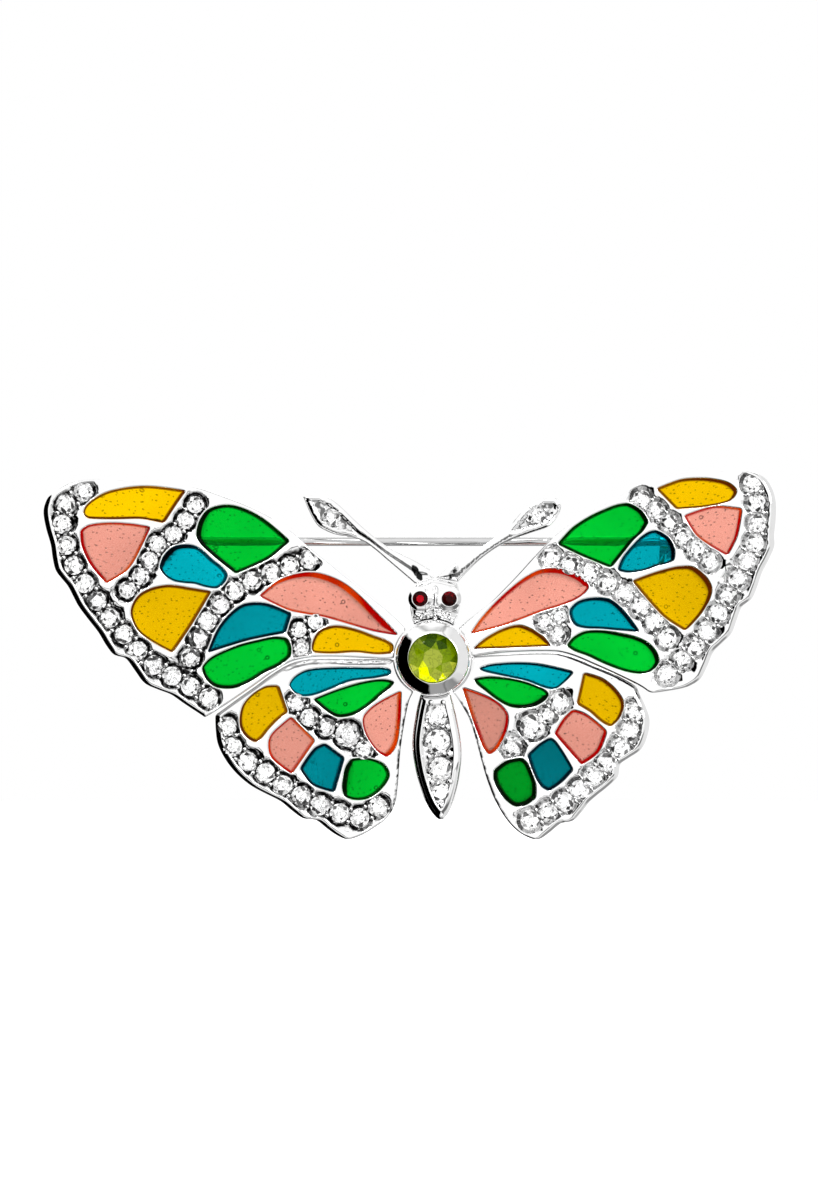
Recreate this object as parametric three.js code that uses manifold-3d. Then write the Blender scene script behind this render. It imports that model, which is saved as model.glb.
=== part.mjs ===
import * as THREE from 'three';
import { mergeVertices } from 'three/addons/utils/BufferGeometryUtils.js';
import Module from 'manifold-3d';

// Butterfly brooch in rhodium-plated silver with transparent enamel windows, in millimetres.
// +X runs to the right when facing the brooch, +Z to the antennae, and the face looks along -Y.
// The origin is the centre of the thorax's flat back, which lies against the garment.

const wasm = await Module();
wasm.setup();

// ---- driving dimensions -------------------------------------------------------------------
const WING_TILT = THREE.MathUtils.degToRad(7); // each wing's tip stands forward of its root
const WING_ROOT_X = 2.9; // the line that a wing tilts about
const WING_SHIFT = 0.18; // outwards, so that the tilted faces lie where they are drawn
const FOREWING_BACK = 0.6; // back of a forewing's frame in front of the back plane
const FOREWING_THICKNESS = 1.8;
const HINDWING_BACK = 0;
const HINDWING_THICKNESS = 1.6;
const PANE_THICKNESS = 1.1; // enamel, set in from both faces of its frame
const PANE_BACK = 0.3;
const PANE_GAP = 0.06; // between the enamel and the walls of its cell
const SOLDER_GAP = 0.06; // between two pieces that are soldered together
const SEAT_RATIO = 0.6; // a melee stone's drilled seat against the stone's diameter
const SEAT_DEPTH = 0.5;
const SEAT_SIDES = 6;
const ROUND_SIDES = 24;
const STONE_SIDES = 12;
const STONE_GAP = 0.05;

const THORAX = { x: -0.2, z: -0.05, radius: 3.1, collar: 3.75, height: 4.5, rimRadius: 2.15 };
const PERIDOT = { radius: 2.0, girdle: 3.8, crown: 0.75, pavilion: 1.6, table: 1.1 };
const HEAD_THICKNESS = 2.4;
const ANTENNA_BACK = 0.6;
const ANTENNA_THICKNESS = 1.2;
const ABDOMEN_THICKNESS = 2.8;
const EYE = { outer: 1.0, inner: 0.82, height: 1.3, floor: 0.35, z: 4.85 };

const PIN = { y: 0.8, z: 9.65, radius: 0.4, tipX: 21.9, point: 3.2 };
const HINGE = { x: -22.8, eye: 1.1, eyeWidth: 1.1, ear: 1.15, width: 2.4, rivet: 0.5, head: 0.8 };
const RUNNING_GAP = 0.08; // radial, between the rivet and the eye that turns on it
const CATCH = { x: 20.2, length: 1.8, outer: 1.7, inner: 1.25, slot: 1.3 };
const LOCK = { outer: 1.15, inner: 0.64, slot: 1.2, lever: 2.5, leverWidth: 0.9, leverLength: 0.5 };
const BELOW_WING = 6; // how far a fitting's blank reaches before its foot is cut to the wing's back

const SHARP = true; // marks a point of an outline where it turns a corner

// ---- outlines, as [x, z] seen from the front -----------------------------------------------
const LEFT_FOREWING = {
  outline: [
    [-29.6, 14.6], [-26, 14.65], [-21, 14.3], [-17.5, 13.25], [-13.7, 11.6], [-10, 8.6], [-6.1, 5.4],
    [-2.2, 2], [-1.8, 0.6], [-2.4, 0], [-7, 0], [-10, 0.05], [-12.2, -0.4], [-15, -2.2],
    [-17.2, -3.7], [-19.2, -4.94, SHARP], [-21, -3.75], [-22.1, -3], [-24.2, -2.1], [-25.7, -0.1],
    [-26.8, 0.3], [-28, 2.1], [-29.6, 4.2], [-30.5, 5.9], [-31.5, 7.2], [-31.9, 9.3], [-32.5, 11.9],
    [-31.95, 13.4],
  ],
  panes: {
    top_yellow: [
      [-29.15, 11.85], [-28.6, 11.5], [-24.6, 11.5], [-22.6, 11.15, SHARP], [-21.8, 12.4],
      [-20.9, 13.7, SHARP], [-24, 14.05], [-27.1, 13.6], [-28.8, 12.6],
    ],
    top_pink: [
      [-29.4, 10.4], [-28.1, 10.95], [-25.4, 10.95], [-23.8, 10.7, SHARP], [-24.6, 9],
      [-25.6, 7.3], [-27.3, 6.2, SHARP], [-28.7, 7.9],
    ],
    big_green: [
      [-19.85, 10.1], [-19.1, 12], [-17.1, 12.5], [-14.6, 11.5], [-12.3, 9.6, SHARP],
      [-13.9, 8.25], [-16.65, 7, SHARP], [-19.2, 9.1],
    ],
    outer_teal: [
      [-22.9, 7.45], [-21.9, 9], [-20.1, 9.15], [-18.7, 8.05], [-17.4, 6.8], [-18.2, 5.8],
      [-20, 6.15], [-21.8, 6.4],
    ],
    outer_yellow: [
      [-25.25, 3.8], [-24.5, 5.2], [-22.4, 5.9], [-20.6, 5.7], [-18.8, 5.4, SHARP], [-20.4, 2.7],
      [-21.9, 0.5, SHARP], [-24.5, 2.1],
    ],
    inner_pink: [
      [-14.6, 5.1, SHARP], [-12.9, 6.4], [-10.25, 6.95], [-7.6, 6], [-5.2, 3.8],
      [-3.3, 1.9, SHARP], [-5.4, 2.3], [-9.2, 3.4], [-12.15, 3.95],
    ],
    inner_yellow: [
      [-10.3, 0.8], [-9.75, 2.1], [-8.1, 2.55], [-5.2, 1.7], [-3.75, 1.05], [-3.75, 0.4],
      [-6.7, 0.5], [-10.05, 0.47],
    ],
    inner_teal: [
      [-18.9, 0.5, SHARP], [-18, 2.5], [-16.2, 4.25], [-14.2, 4.4], [-12.15, 3.6, SHARP],
      [-12.6, 2.1, SHARP], [-15.6, 1.5],
    ],
    lower_green: [
      [-19.4, -0.8], [-17.7, 0.45], [-14.7, 1.4], [-12.5, 1.55], [-12.2, 0.1], [-14.3, -1.2],
      [-16.6, -2.4], [-18.5, -2.25],
    ],
  },
  stones: [
    {
      diameter: 1.6, count: 14,
      row: [
        [-29.2, 13.6], [-30.9, 12.3], [-30.8, 10.2], [-30.2, 8], [-28.4, 5.1], [-26.2, 2.3],
        [-23.6, -0.5], [-21.2, -1.9], [-18.9, -3.3],
      ],
    },
    { diameter: 1.45, count: 7, row: [[-20, 12.6], [-21.6, 10.3], [-23.4, 9.1], [-24.1, 7.2], [-25.6, 5.6]] },
    { diameter: 1.6, count: 9, row: [[-10.6, 8.1], [-13.8, 6.95], [-16.8, 5.5], [-19, 3.05], [-20.4, 0]] },
    { diameter: 1.35, count: 3, row: [[-10.05, 2.9], [-11.45, 2.3], [-11.25, 0.85]] },
  ],
};

const LEFT_HINDWING = {
  outline: [
    [-18.3, -4.75, SHARP], [-18.1, -7.1], [-16.9, -9.2], [-15.2, -10.7], [-12.9, -11.9],
    [-11.1, -13.3], [-9.9, -13.5], [-9, -14.2], [-7.3, -15.1], [-5, -14.1], [-3.8, -13.1],
    [-3.25, -11.8], [-2.9, -8], [-2.2, -3.8], [-1.6, -2.4], [-1.6, -0.15, SHARP], [-7, -0.15],
    [-10.2, -0.12], [-12.3, -0.62], [-15.1, -2.48], [-17.2, -3.95],
  ],
  panes: {
    long_teal: [
      [-12.1, -2.25], [-11, -1.25], [-9.2, -0.95], [-5.6, -0.95], [-3.8, -1.05], [-3.8, -1.4],
      [-7, -1.87], [-9.8, -2.95], [-11.2, -3.1],
    ],
    long_green: [
      [-10.05, -3.5, SHARP], [-8, -2.7], [-5, -1.95], [-3.5, -2.1], [-4.6, -3.1], [-6.4, -4.5],
      [-8.2, -4.85],
    ],
    inner_pink: [
      [-2.9, -2.9, SHARP], [-4.9, -3.95], [-5.95, -5.1], [-5.35, -7], [-4, -8.2], [-3.2, -6.9],
    ],
    outer_yellow: [
      [-13.1, -2.4, SHARP], [-14.2, -2.5], [-15.9, -3.9], [-16.1, -5.9], [-14.95, -6.95],
      [-14, -6], [-13.25, -5.2], [-12.35, -4.5, SHARP],
    ],
    outer_pink: [
      [-12, -5, SHARP], [-12.8, -5.65], [-13.75, -6.7], [-13.6, -8.2], [-11.95, -9.55, SHARP],
      [-10.1, -6.9, SHARP],
    ],
    outer_teal: [
      [-9.2, -7.2, SHARP], [-10.05, -7.6], [-11.2, -9.2, SHARP], [-10.2, -10.5],
      [-8.45, -11.1, SHARP], [-7.65, -8.35, SHARP],
    ],
    bottom_green: [
      [-7, -8.5], [-4.5, -8.8], [-3.9, -9.9], [-5.5, -11.6], [-7.5, -11.5], [-7.6, -10],
    ],
  },
  stones: [
    {
      diameter: 1.65, count: 10,
      row: [
        [-17.3, -5.7], [-16.8, -7.5], [-14.2, -9.5], [-11.3, -11.4], [-8, -12.9], [-6.3, -13.3],
        [-4.8, -12.4],
      ],
    },
    { diameter: 1.5, count: 3, row: [[-11.6, -3.7], [-10.5, -5], [-9.1, -5.8]] },
    { diameter: 2.1, count: 1, row: [[-7.3, -6.4]] },
    { diameter: 1.6, count: 1, row: [[-5.9, -7.7]] },
  ],
};

const RIGHT_FOREWING = {
  outline: [
    [1.6, 2], [4.6, 4.5], [7, 6.9], [9.8, 9.85], [12.6, 11.9], [15, 13.05], [16.6, 14.25],
    [19, 14.8], [25.4, 15.45], [27.4, 14.75], [28.25, 12.8], [28.1, 10.1], [28.1, 9.1], [27.1, 7],
    [26.3, 4.9], [25.4, 4.1], [24.6, 2], [23.1, 0.45], [22.1, -1.7], [20.7, -2.5],
    [18, -2.9, SHARP], [16.6, -2.1], [13, -0.45], [11.4, 0.2], [10, 0.5], [5.8, 0.38],
    [1.8, 0.1], [1.2, 0.8],
  ],
  panes: {
    top_yellow: [
      [18.55, 13.9, SHARP], [20.7, 14.65], [23.8, 14.5], [25, 13.75], [24.2, 12.85],
      [20.1, 12.3, SHARP],
    ],
    top_pink: [
      [20.8, 11.65, SHARP], [23.2, 12.4], [25.4, 12.2, SHARP], [25, 10], [24.25, 8.5, SHARP],
      [21.9, 10],
    ],
    big_green: [
      [10.35, 9.4, SHARP], [11.7, 10.8], [14.4, 12.25], [16.2, 12.6], [17.7, 11.25],
      [16.3, 9.55], [14.65, 7.5, SHARP], [12.2, 8.5],
    ],
    outer_teal: [
      [15.3, 7.25], [16.6, 9.3], [18.2, 10.4], [19.6, 9.55], [19.8, 8.05], [18.5, 7.65], [17.2, 7.2],
    ],
    outer_yellow: [
      [16.55, 6.3, SHARP], [19, 7.15], [21.4, 7.4], [22.9, 5.8], [22.2, 3.9],
      [20.8, 2.3, SHARP], [19, 3.5],
    ],
    inner_pink: [
      [3.13, 2.02, SHARP], [4.15, 3.4], [6.6, 5.8], [8.95, 7.2], [11.2, 7.05], [12.8, 5.9],
      [11.6, 4.8], [8.95, 3.9], [6, 2.8],
    ],
    inner_yellow: [
      [3.35, 0.75, SHARP], [4.6, 1.7], [7, 2.6], [8.95, 1.7], [9.6, 1, SHARP], [6.3, 0.87],
    ],
    inner_teal: [
      [11.3, 3.9], [12.5, 4.75], [14.8, 4.6], [16.9, 2.2, SHARP], [13.8, 2.45], [11.8, 2.7],
    ],
    lower_green: [
      [11.1, 1], [12.6, 2.1], [15.5, 1.9], [17.7, 1.15], [18.6, -0.25], [17.6, -1.2],
      [15.5, -0.95], [12.8, 0.2],
    ],
  },
  stones: [
    {
      diameter: 1.55, count: 12,
      row: [[26.3, 14.3], [26.7, 12.5], [26.6, 9.8], [25.3, 6.8], [23.8, 4.1], [21.8, 1.15], [19.3, -1.4]],
    },
    { diameter: 1.45, count: 6, row: [[17.2, 13.1], [19, 11.6], [20.7, 9.8], [22.8, 7.9]] },
    { diameter: 1.6, count: 8, row: [[9.7, 8.2], [13, 6.9], [15.8, 5.3], [18.2, 3.05], [19.3, 1.6]] },
    { diameter: 1.3, count: 3, row: [[9.2, 2.9], [10.3, 3.4], [10.3, 1.9]] },
  ],
};

const RIGHT_HINDWING = {
  outline: [
    [17, -3.05, SHARP], [17.8, -5.2], [17.1, -7.6], [15.4, -8.8], [15.15, -9.9], [13.6, -11.3],
    [12.8, -12], [11.55, -13.5], [10.4, -13.8], [8.6, -15.1], [6.6, -14.2], [4.95, -11.8],
    [3.9, -8.8], [2.9, -5.3], [1.7, -3.2], [1.1, -2.4], [1.1, -0.05, SHARP], [5.8, 0.22],
    [10, 0.33], [11.5, 0], [13.1, -0.65], [16.6, -2.3],
  ],
  panes: {
    long_teal: [
      [3.75, -0.95], [5.2, -0.6], [8.4, -0.6], [11.4, -1.25, SHARP], [9.9, -2.55], [7.7, -1.9],
      [4.95, -1.3],
    ],
    long_green: [
      [3.3, -1.85], [6, -1.8], [8.4, -2.45], [9.4, -3.1], [8.2, -4], [6.2, -4], [4.2, -2.7],
    ],
    inner_pink: [
      [2.35, -2.6, SHARP], [4.85, -3.6], [6, -4.85], [5.45, -7], [4.5, -8], [3.65, -6.4],
    ],
    outer_yellow: [
      [12.4, -1.35, SHARP], [14.1, -1.95], [15.6, -3.8], [14.6, -5.65], [13, -4.5],
      [11.85, -3.8, SHARP],
    ],
    outer_pink: [
      [11.45, -4.4], [13.3, -5.35], [14.2, -6.15, SHARP], [13.5, -7.85], [12.2, -8.8, SHARP],
      [10, -6.3, SHARP],
    ],
    outer_teal: [
      [9.5, -6.75], [7.75, -8.1, SHARP], [8.55, -10.2], [9.5, -11], [11.4, -9.3, SHARP],
      [10.1, -7.2],
    ],
    bottom_green: [
      [7.1, -8.4], [4.95, -9.4], [5.3, -10.95], [6.75, -12.3], [8.3, -11.6], [7.9, -9.4],
    ],
  },
  stones: [
    {
      diameter: 1.65, count: 9,
      row: [[16.5, -4.5], [16, -6.5], [13.8, -9.2], [11.1, -11.7], [9.4, -12.8], [7.9, -13.5]],
    },
    { diameter: 1.6, count: 1, row: [[10.3, -3.7]] },
    { diameter: 1.2, count: 1, row: [[9.3, -4.8]] },
    { diameter: 2.1, count: 1, row: [[8.1, -5.7]] },
    { diameter: 1.7, count: 1, row: [[6.4, -7.4]] },
  ],
};

const ABDOMEN = {
  outline: [
    [-1.15, -2.6, SHARP], [-1.9, -7.1], [-1.1, -11.2], [0.1, -13.3], [0.7, -13.4], [1.6, -11.7],
    [2.2, -7.6], [1.2, -2.6, SHARP],
  ],
  stones: [[0.15, -4.7, 1.9], [0.2, -6.95, 2], [0.45, -9.25, 1.9], [0.5, -11.25, 1.7]],
};

const HEAD_OUTLINE = [
  [-1.6, 2, SHARP], [-2.1, 3.8], [-2.05, 5.2], [-1.6, 6, SHARP], [0, 6.5, SHARP],
  [1.85, 6.15, SHARP], [2.1, 5], [2, 3.8], [1.4, 2, SHARP],
];

const ANTENNAE = {
  left: {
    outline: [
      [-10.95, 13.3, SHARP], [-9.8, 13.45], [-8.6, 13.1], [-7.6, 12.3], [-6.4, 11.15], [-4, 9.2], [-0.5, 7.3],
      [-0.1, 6.6, SHARP], [-1.65, 6.1, SHARP], [-4, 8.1], [-5.6, 9.4], [-6.7, 9.9],
      [-8.3, 10.2], [-9.8, 11],
    ],
    stone: [-8.6, 11.6, 1.5],
  },
  right: {
    outline: [
      [10.05, 13.2], [9.3, 13.25], [8.2, 12.85], [7.2, 12.1], [6.1, 10.85], [2.4, 8.2], [0.8, 7.2],
      [0.1, 6.6, SHARP], [1.9, 6.25, SHARP], [3.4, 7.8], [4.95, 9], [6.4, 9.75], [8.2, 10.4],
      [9.4, 10.85], [10.1, 11.6], [10.45, 12.5],
    ],
    stone: [8.4, 11.75, 1.5],
  },
};

// ---- finishes -----------------------------------------------------------------------------
const ENAMEL = { yellow: 0xf2b800, pink: 0xf0a596, green: 0x00b428, teal: 0x00a0b4 };
const silver = () => new THREE.MeshStandardMaterial({ color: 0xd8dade, roughness: 0.12, metalness: 1 });
const steel = () => new THREE.MeshStandardMaterial({ color: 0xc4c6ca, roughness: 0.2, metalness: 1 });

function enamel(colour) {
  return new THREE.MeshStandardMaterial({
    color: colour, roughness: 0.1, metalness: 0, transparent: true, opacity: 0.75,
  });
}

function gem(colour) {
  return new THREE.MeshStandardMaterial({
    color: colour, roughness: 0.03, metalness: 0, transparent: true, opacity: 0.6,
  });
}

// ---- outlines to loops of points ----------------------------------------------------------
function sampleCurve(points, closed, steps) {
  const through = points.map(([x, z]) => new THREE.Vector3(x, z, 0));
  const curve = new THREE.CatmullRomCurve3(through, closed, 'centripetal');
  const spans = closed ? points.length : points.length - 1;
  return curve.getPoints(spans * steps).slice(0, -1).map((p) => new THREE.Vector2(p.x, p.y));
}

// A smooth closed loop through the points, broken at the sharp ones.
function smoothLoop(points, steps) {
  const first = points.findIndex((p) => p[2] === SHARP);
  if (first < 0) return sampleCurve(points, true, steps);
  const turned = [...points.slice(first), ...points.slice(0, first + 1)];
  const loop = [];
  let run = [turned[0]];
  for (const point of turned.slice(1)) {
    run.push(point);
    if (point[2] === SHARP) {
      loop.push(...sampleCurve(run, false, steps));
      run = [point];
    }
  }
  return loop;
}

// The loop moved outwards by a distance, each point along the mean of its two edges' normals.
function growLoop(loop, distance) {
  const outwards = THREE.ShapeUtils.isClockWise(loop) ? -1 : 1;
  return loop.map((point, i) => {
    const before = loop[(i + loop.length - 1) % loop.length];
    const after = loop[(i + 1) % loop.length];
    const arriving = point.clone().sub(before).normalize();
    const leaving = after.clone().sub(point).normalize();
    const along = arriving.clone().add(leaving).normalize();
    const reach = (distance * outwards) / Math.max(0.5, along.dot(leaving));
    return point.clone().add(new THREE.Vector2(along.y, -along.x).multiplyScalar(reach));
  });
}

// ---- solids -------------------------------------------------------------------------------
function toSolid(geometry) {
  const bare = geometry.clone();
  bare.deleteAttribute('normal');
  bare.deleteAttribute('uv');
  const merged = mergeVertices(bare, 1e-5);
  return new wasm.Manifold(new wasm.Mesh({
    numProp: 3,
    vertProperties: new Float32Array(merged.attributes.position.array),
    triVerts: new Uint32Array(merged.index.array),
  }));
}

function toGeometry(solid) {
  const mesh = solid.getMesh();
  const geometry = new THREE.BufferGeometry();
  geometry.setAttribute('position', new THREE.BufferAttribute(new Float32Array(mesh.vertProperties), 3));
  geometry.setIndex(new THREE.BufferAttribute(new Uint32Array(mesh.triVerts), 1));
  geometry.computeVertexNormals();
  return geometry;
}

function cut(geometry, cutters) {
  return toGeometry(cutters.reduce((solid, cutter) => solid.subtract(toSolid(cutter)), toSolid(geometry)));
}

function join(first, second) {
  return toGeometry(toSolid(first).add(toSolid(second)));
}

function anticlockwise(loop) {
  return THREE.ShapeUtils.isClockWise(loop) ? [...loop].reverse() : loop;
}

function plate(loop, thickness, holes = []) {
  const shape = new THREE.Shape(anticlockwise(loop));
  shape.holes = holes.map((hole) => new THREE.Path(hole));
  return new THREE.ExtrudeGeometry(shape, { depth: thickness, bevelEnabled: false });
}

function bevelledPlate(loop, thickness, bevel) {
  return new THREE.ExtrudeGeometry(new THREE.Shape(anticlockwise(loop)), {
    depth: thickness - 2 * bevel.rise,
    bevelThickness: bevel.rise,
    bevelSize: bevel.run,
    bevelOffset: -bevel.run,
    bevelSegments: 1,
  }).translate(0, 0, bevel.rise);
}

// A rod with its axis on local Z, from low to high.
function rod(radius, low, high, sides = ROUND_SIDES) {
  return new THREE.CylinderGeometry(radius, radius, high - low, sides)
    .rotateX(Math.PI / 2)
    .translate(0, 0, (low + high) / 2);
}

function block(low, high) {
  const size = new THREE.Vector3().subVectors(high, low);
  const middle = new THREE.Vector3().addVectors(low, high).multiplyScalar(0.5);
  return new THREE.BoxGeometry(size.x, size.y, size.z).translate(middle.x, middle.y, middle.z);
}

// A turned form from [radius, height] pairs, standing on local Z.
function turned(profile, sides) {
  const points = profile.map(([radius, height]) => new THREE.Vector2(radius, height));
  return new THREE.LatheGeometry(points, sides).rotateX(Math.PI / 2);
}

// A round brilliant with its girdle at height 0.
function brilliant(radius, crown, pavilion, table) {
  const girdle = 0.04 * radius;
  const profile = [[0, -pavilion], [radius, -girdle], [radius, girdle], [table, crown], [0, crown]];
  return turned(profile, STONE_SIDES);
}

// ---- placing ------------------------------------------------------------------------------
// A face-on piece is drawn with X to the right, Y up and its front along local Z.
const FACE_ON = new THREE.Euler(Math.PI / 2, 0, 0);

function faceOn(name, geometry, material, back = 0) {
  const mesh = new THREE.Mesh(geometry, material);
  mesh.name = name;
  mesh.rotation.copy(FACE_ON);
  mesh.position.y = -back;
  return mesh;
}

function asPlaced(name, geometry, material) {
  const mesh = new THREE.Mesh(geometry, material);
  mesh.name = name;
  return mesh;
}

// A wing's group: local coordinates are the flat drawing's, tilted forward about the wing's root.
function wingGroup(side) {
  const sign = side === 'left' ? -1 : 1;
  const tilted = new THREE.Group();
  tilted.position.x = sign * WING_ROOT_X;
  tilted.rotation.z = -sign * WING_TILT;
  const drawing = new THREE.Group();
  drawing.position.x = sign * (WING_SHIFT - WING_ROOT_X);
  tilted.add(drawing);
  tilted.updateMatrixWorld(true);
  return { tilted, drawing };
}

const wings = { left: wingGroup('left'), right: wingGroup('right') };

// The thorax's outside with its solder gap, in the coordinates of a face-on plate of one wing.
function thoraxCutter(side, back) {
  const radius = THORAX.radius + SOLDER_GAP + 0.02;
  const toWorld = wings[side].drawing.matrixWorld.clone()
    .multiply(new THREE.Matrix4().makeTranslation(0, -back, 0))
    .multiply(new THREE.Matrix4().makeRotationFromEuler(FACE_ON));
  return rod(radius, -10, 10, 2 * ROUND_SIDES)
    .translate(THORAX.x, THORAX.z, 0)
    .applyMatrix4(new THREE.Matrix4().makeRotationFromEuler(FACE_ON))
    .applyMatrix4(toWorld.invert());
}

// ---- wings --------------------------------------------------------------------------------
function stonePlaces({ row, count, diameter }) {
  if (count === 1 || count === row.length) return row.map(([x, z]) => [x, z, diameter]);
  const through = row.map(([x, z]) => new THREE.Vector3(x, z, 0));
  const curve = new THREE.CatmullRomCurve3(through, false, 'centripetal');
  return curve.getSpacedPoints(count - 1).map((p) => [p.x, p.y, diameter]);
}

function seat([x, z, diameter], top) {
  return rod((SEAT_RATIO * diameter) / 2, top - SEAT_DEPTH, top + SEAT_DEPTH, SEAT_SIDES).translate(x, z, 0);
}

function wingFrame(wing, side, back, thickness) {
  const cells = Object.values(wing.panes).map((pane) => growLoop(smoothLoop(pane, 2), PANE_GAP));
  const blank = plate(smoothLoop(wing.outline, 2), thickness, cells);
  const seats = wing.stones.flatMap(stonePlaces).map((place) => seat(place, thickness));
  return cut(blank, [thoraxCutter(side, back), ...seats]);
}

function addWing(name, wing, side, back, thickness) {
  const { drawing } = wings[side];
  drawing.add(faceOn(`${name}_frame`, wingFrame(wing, side, back, thickness), silver(), back));
  for (const [cell, outline] of Object.entries(wing.panes)) {
    const colour = ENAMEL[cell.split('_').pop()];
    const pane = plate(smoothLoop(outline, 2), PANE_THICKNESS);
    drawing.add(faceOn(`${name}_pane_${cell}`, pane, enamel(colour), back + PANE_BACK));
  }
}

// ---- body ---------------------------------------------------------------------------------
function thoraxBezel() {
  const { radius, collar, height, rimRadius } = THORAX;
  const bore = PERIDOT.radius + STONE_GAP;
  const profile = [
    [0, 0], [radius, 0], [radius, collar], [rimRadius + 0.15, height - 0.2], [rimRadius, height],
    [bore, height], [bore, PERIDOT.girdle - 0.2], [1, 2], [0, 2],
  ];
  return faceOn('thorax_bezel', turned(profile, 2 * ROUND_SIDES).translate(THORAX.x, THORAX.z, 0), silver());
}

function peridot() {
  const { radius, girdle, crown, pavilion, table } = PERIDOT;
  const stone = brilliant(radius, crown, pavilion, table).translate(THORAX.x, THORAX.z, girdle);
  return faceOn('peridot', stone, gem(0xaac800));
}

function bodyCutter() {
  return rod(THORAX.radius + SOLDER_GAP, -10, 10, 2 * ROUND_SIDES).translate(THORAX.x, THORAX.z, 0);
}

function stonePocket([x, z, diameter], top) {
  const radius = diameter / 2 + STONE_GAP;
  return rod(radius, top - 0.55 * diameter, top + diameter, STONE_SIDES).translate(x, z, 0);
}

function setStone(name, [x, z, diameter], top) {
  const radius = diameter / 2 - 0.02;
  const stone = brilliant(radius, 0.3 * radius, 0.85 * radius, 0.6 * radius);
  return faceOn(name, stone.translate(x, z, top - 0.05), gem(0xf4f7fa));
}

function addAbdomen(brooch) {
  const blank = bevelledPlate(smoothLoop(ABDOMEN.outline, 2), ABDOMEN_THICKNESS, { rise: 0.7, run: 0.25 });
  const pockets = ABDOMEN.stones.map((stone) => stonePocket(stone, ABDOMEN_THICKNESS));
  brooch.add(faceOn('abdomen', cut(blank, [bodyCutter(), ...pockets]), silver()));
  ABDOMEN.stones.forEach((stone, i) => {
    brooch.add(setStone(`abdomen_stone_${i + 1}`, stone, ABDOMEN_THICKNESS));
  });
}

function head() {
  const blank = bevelledPlate(smoothLoop(HEAD_OUTLINE, 2), HEAD_THICKNESS, { rise: 0.5, run: 0.3 });
  return faceOn('head', cut(blank, [bodyCutter()]), silver());
}

function addEye(brooch, side, x, diameter) {
  const { outer, inner, height, floor, z } = EYE;
  const foot = HEAD_THICKNESS + SOLDER_GAP;
  const profile = [[0, 0], [outer, 0], [outer, height], [inner, height], [inner, floor], [0, floor]];
  brooch.add(faceOn(`${side}_eye_tube`, turned(profile, ROUND_SIDES).translate(x, z, foot), silver()));
  const radius = diameter / 2;
  const stone = brilliant(radius, 0.35 * radius, 0.8 * radius, 0.6 * radius);
  brooch.add(faceOn(`${side}_eye_garnet`, stone.translate(x, z, foot + height - 0.15), gem(0x6e000f)));
}

function addAntenna(brooch, side) {
  const { outline, stone } = ANTENNAE[side];
  const blank = plate(smoothLoop(outline, 2), ANTENNA_THICKNESS);
  const pocket = stonePocket(stone, ANTENNA_THICKNESS);
  brooch.add(faceOn(`${side}_antenna`, cut(blank, [pocket]), silver(), ANTENNA_BACK));
  const top = ANTENNA_BACK + ANTENNA_THICKNESS;
  brooch.add(setStone(`${side}_antenna_stone`, stone, top));
}

// ---- pin, hinge and safety catch ----------------------------------------------------------
// Everything in front of a forewing's back, less the solder gap, as a block to cut a foot with.
function wingSlab(side) {
  const low = new THREE.Vector3(-40, -20, -20);
  const high = new THREE.Vector3(40, SOLDER_GAP - FOREWING_BACK, 30);
  return block(low, high).applyMatrix4(wings[side].drawing.matrixWorld);
}

// Turns a form drawn in the Y-Z plane and standing on local Z so that it stands along +X.
const ALONG_X = new THREE.Matrix4().makeBasis(
  new THREE.Vector3(0, 1, 0),
  new THREE.Vector3(0, 0, 1),
  new THREE.Vector3(1, 0, 0),
);

function hingeBracket() {
  const { x, ear, width, eyeWidth, eye, rivet } = HINGE;
  const side = new THREE.Shape();
  side.moveTo(x - ear, PIN.y - BELOW_WING);
  side.lineTo(x + ear, PIN.y - BELOW_WING);
  side.lineTo(x + ear, PIN.y);
  side.absarc(x, PIN.y, ear, 0, Math.PI);
  const blank = new THREE.ExtrudeGeometry(side, { depth: width, bevelEnabled: false, curveSegments: 10 })
    .translate(0, 0, PIN.z - width / 2);
  const slotHalf = eyeWidth / 2 + RUNNING_GAP;
  const floor = PIN.y - eye - 2 * RUNNING_GAP;
  const slot = block(
    new THREE.Vector3(x - 2 * ear, floor, PIN.z - slotHalf),
    new THREE.Vector3(x + 2 * ear, PIN.y + 2 * ear, PIN.z + slotHalf),
  );
  const bore = rod(rivet + STONE_GAP, -20, 20).translate(x, PIN.y, 0);
  return asPlaced('hinge_bracket', cut(blank, [slot, bore, wingSlab('left')]), silver());
}

function hingeRivet() {
  const { x, width, rivet, head: headRadius } = HINGE;
  const inside = width / 2 + SOLDER_GAP;
  const tip = inside + 0.35;
  const profile = [
    [0, -tip], [headRadius, -tip], [headRadius, -inside], [rivet, -inside], [rivet, inside],
    [headRadius, inside], [headRadius, tip], [0, tip],
  ];
  return asPlaced('hinge_rivet', turned(profile, ROUND_SIDES).translate(x, PIN.y, PIN.z), steel());
}

function pinStem() {
  const { x, eye, eyeWidth, rivet } = HINGE;
  const ring = rod(eye, -eyeWidth / 2, eyeWidth / 2).translate(x, PIN.y, PIN.z);
  const shoulder = PIN.tipX - PIN.point;
  const profile = [
    [0, x + rivet], [PIN.radius, x + rivet], [PIN.radius, shoulder], [0.3, PIN.tipX - 1], [0, PIN.tipX],
  ];
  const stem = turned(profile, ROUND_SIDES).applyMatrix4(ALONG_X).translate(0, PIN.y, PIN.z);
  const bore = rod(rivet + RUNNING_GAP, -20, 20).translate(x, PIN.y, 0);
  return asPlaced('pin_stem', cut(join(ring, stem), [bore]), steel());
}

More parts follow.
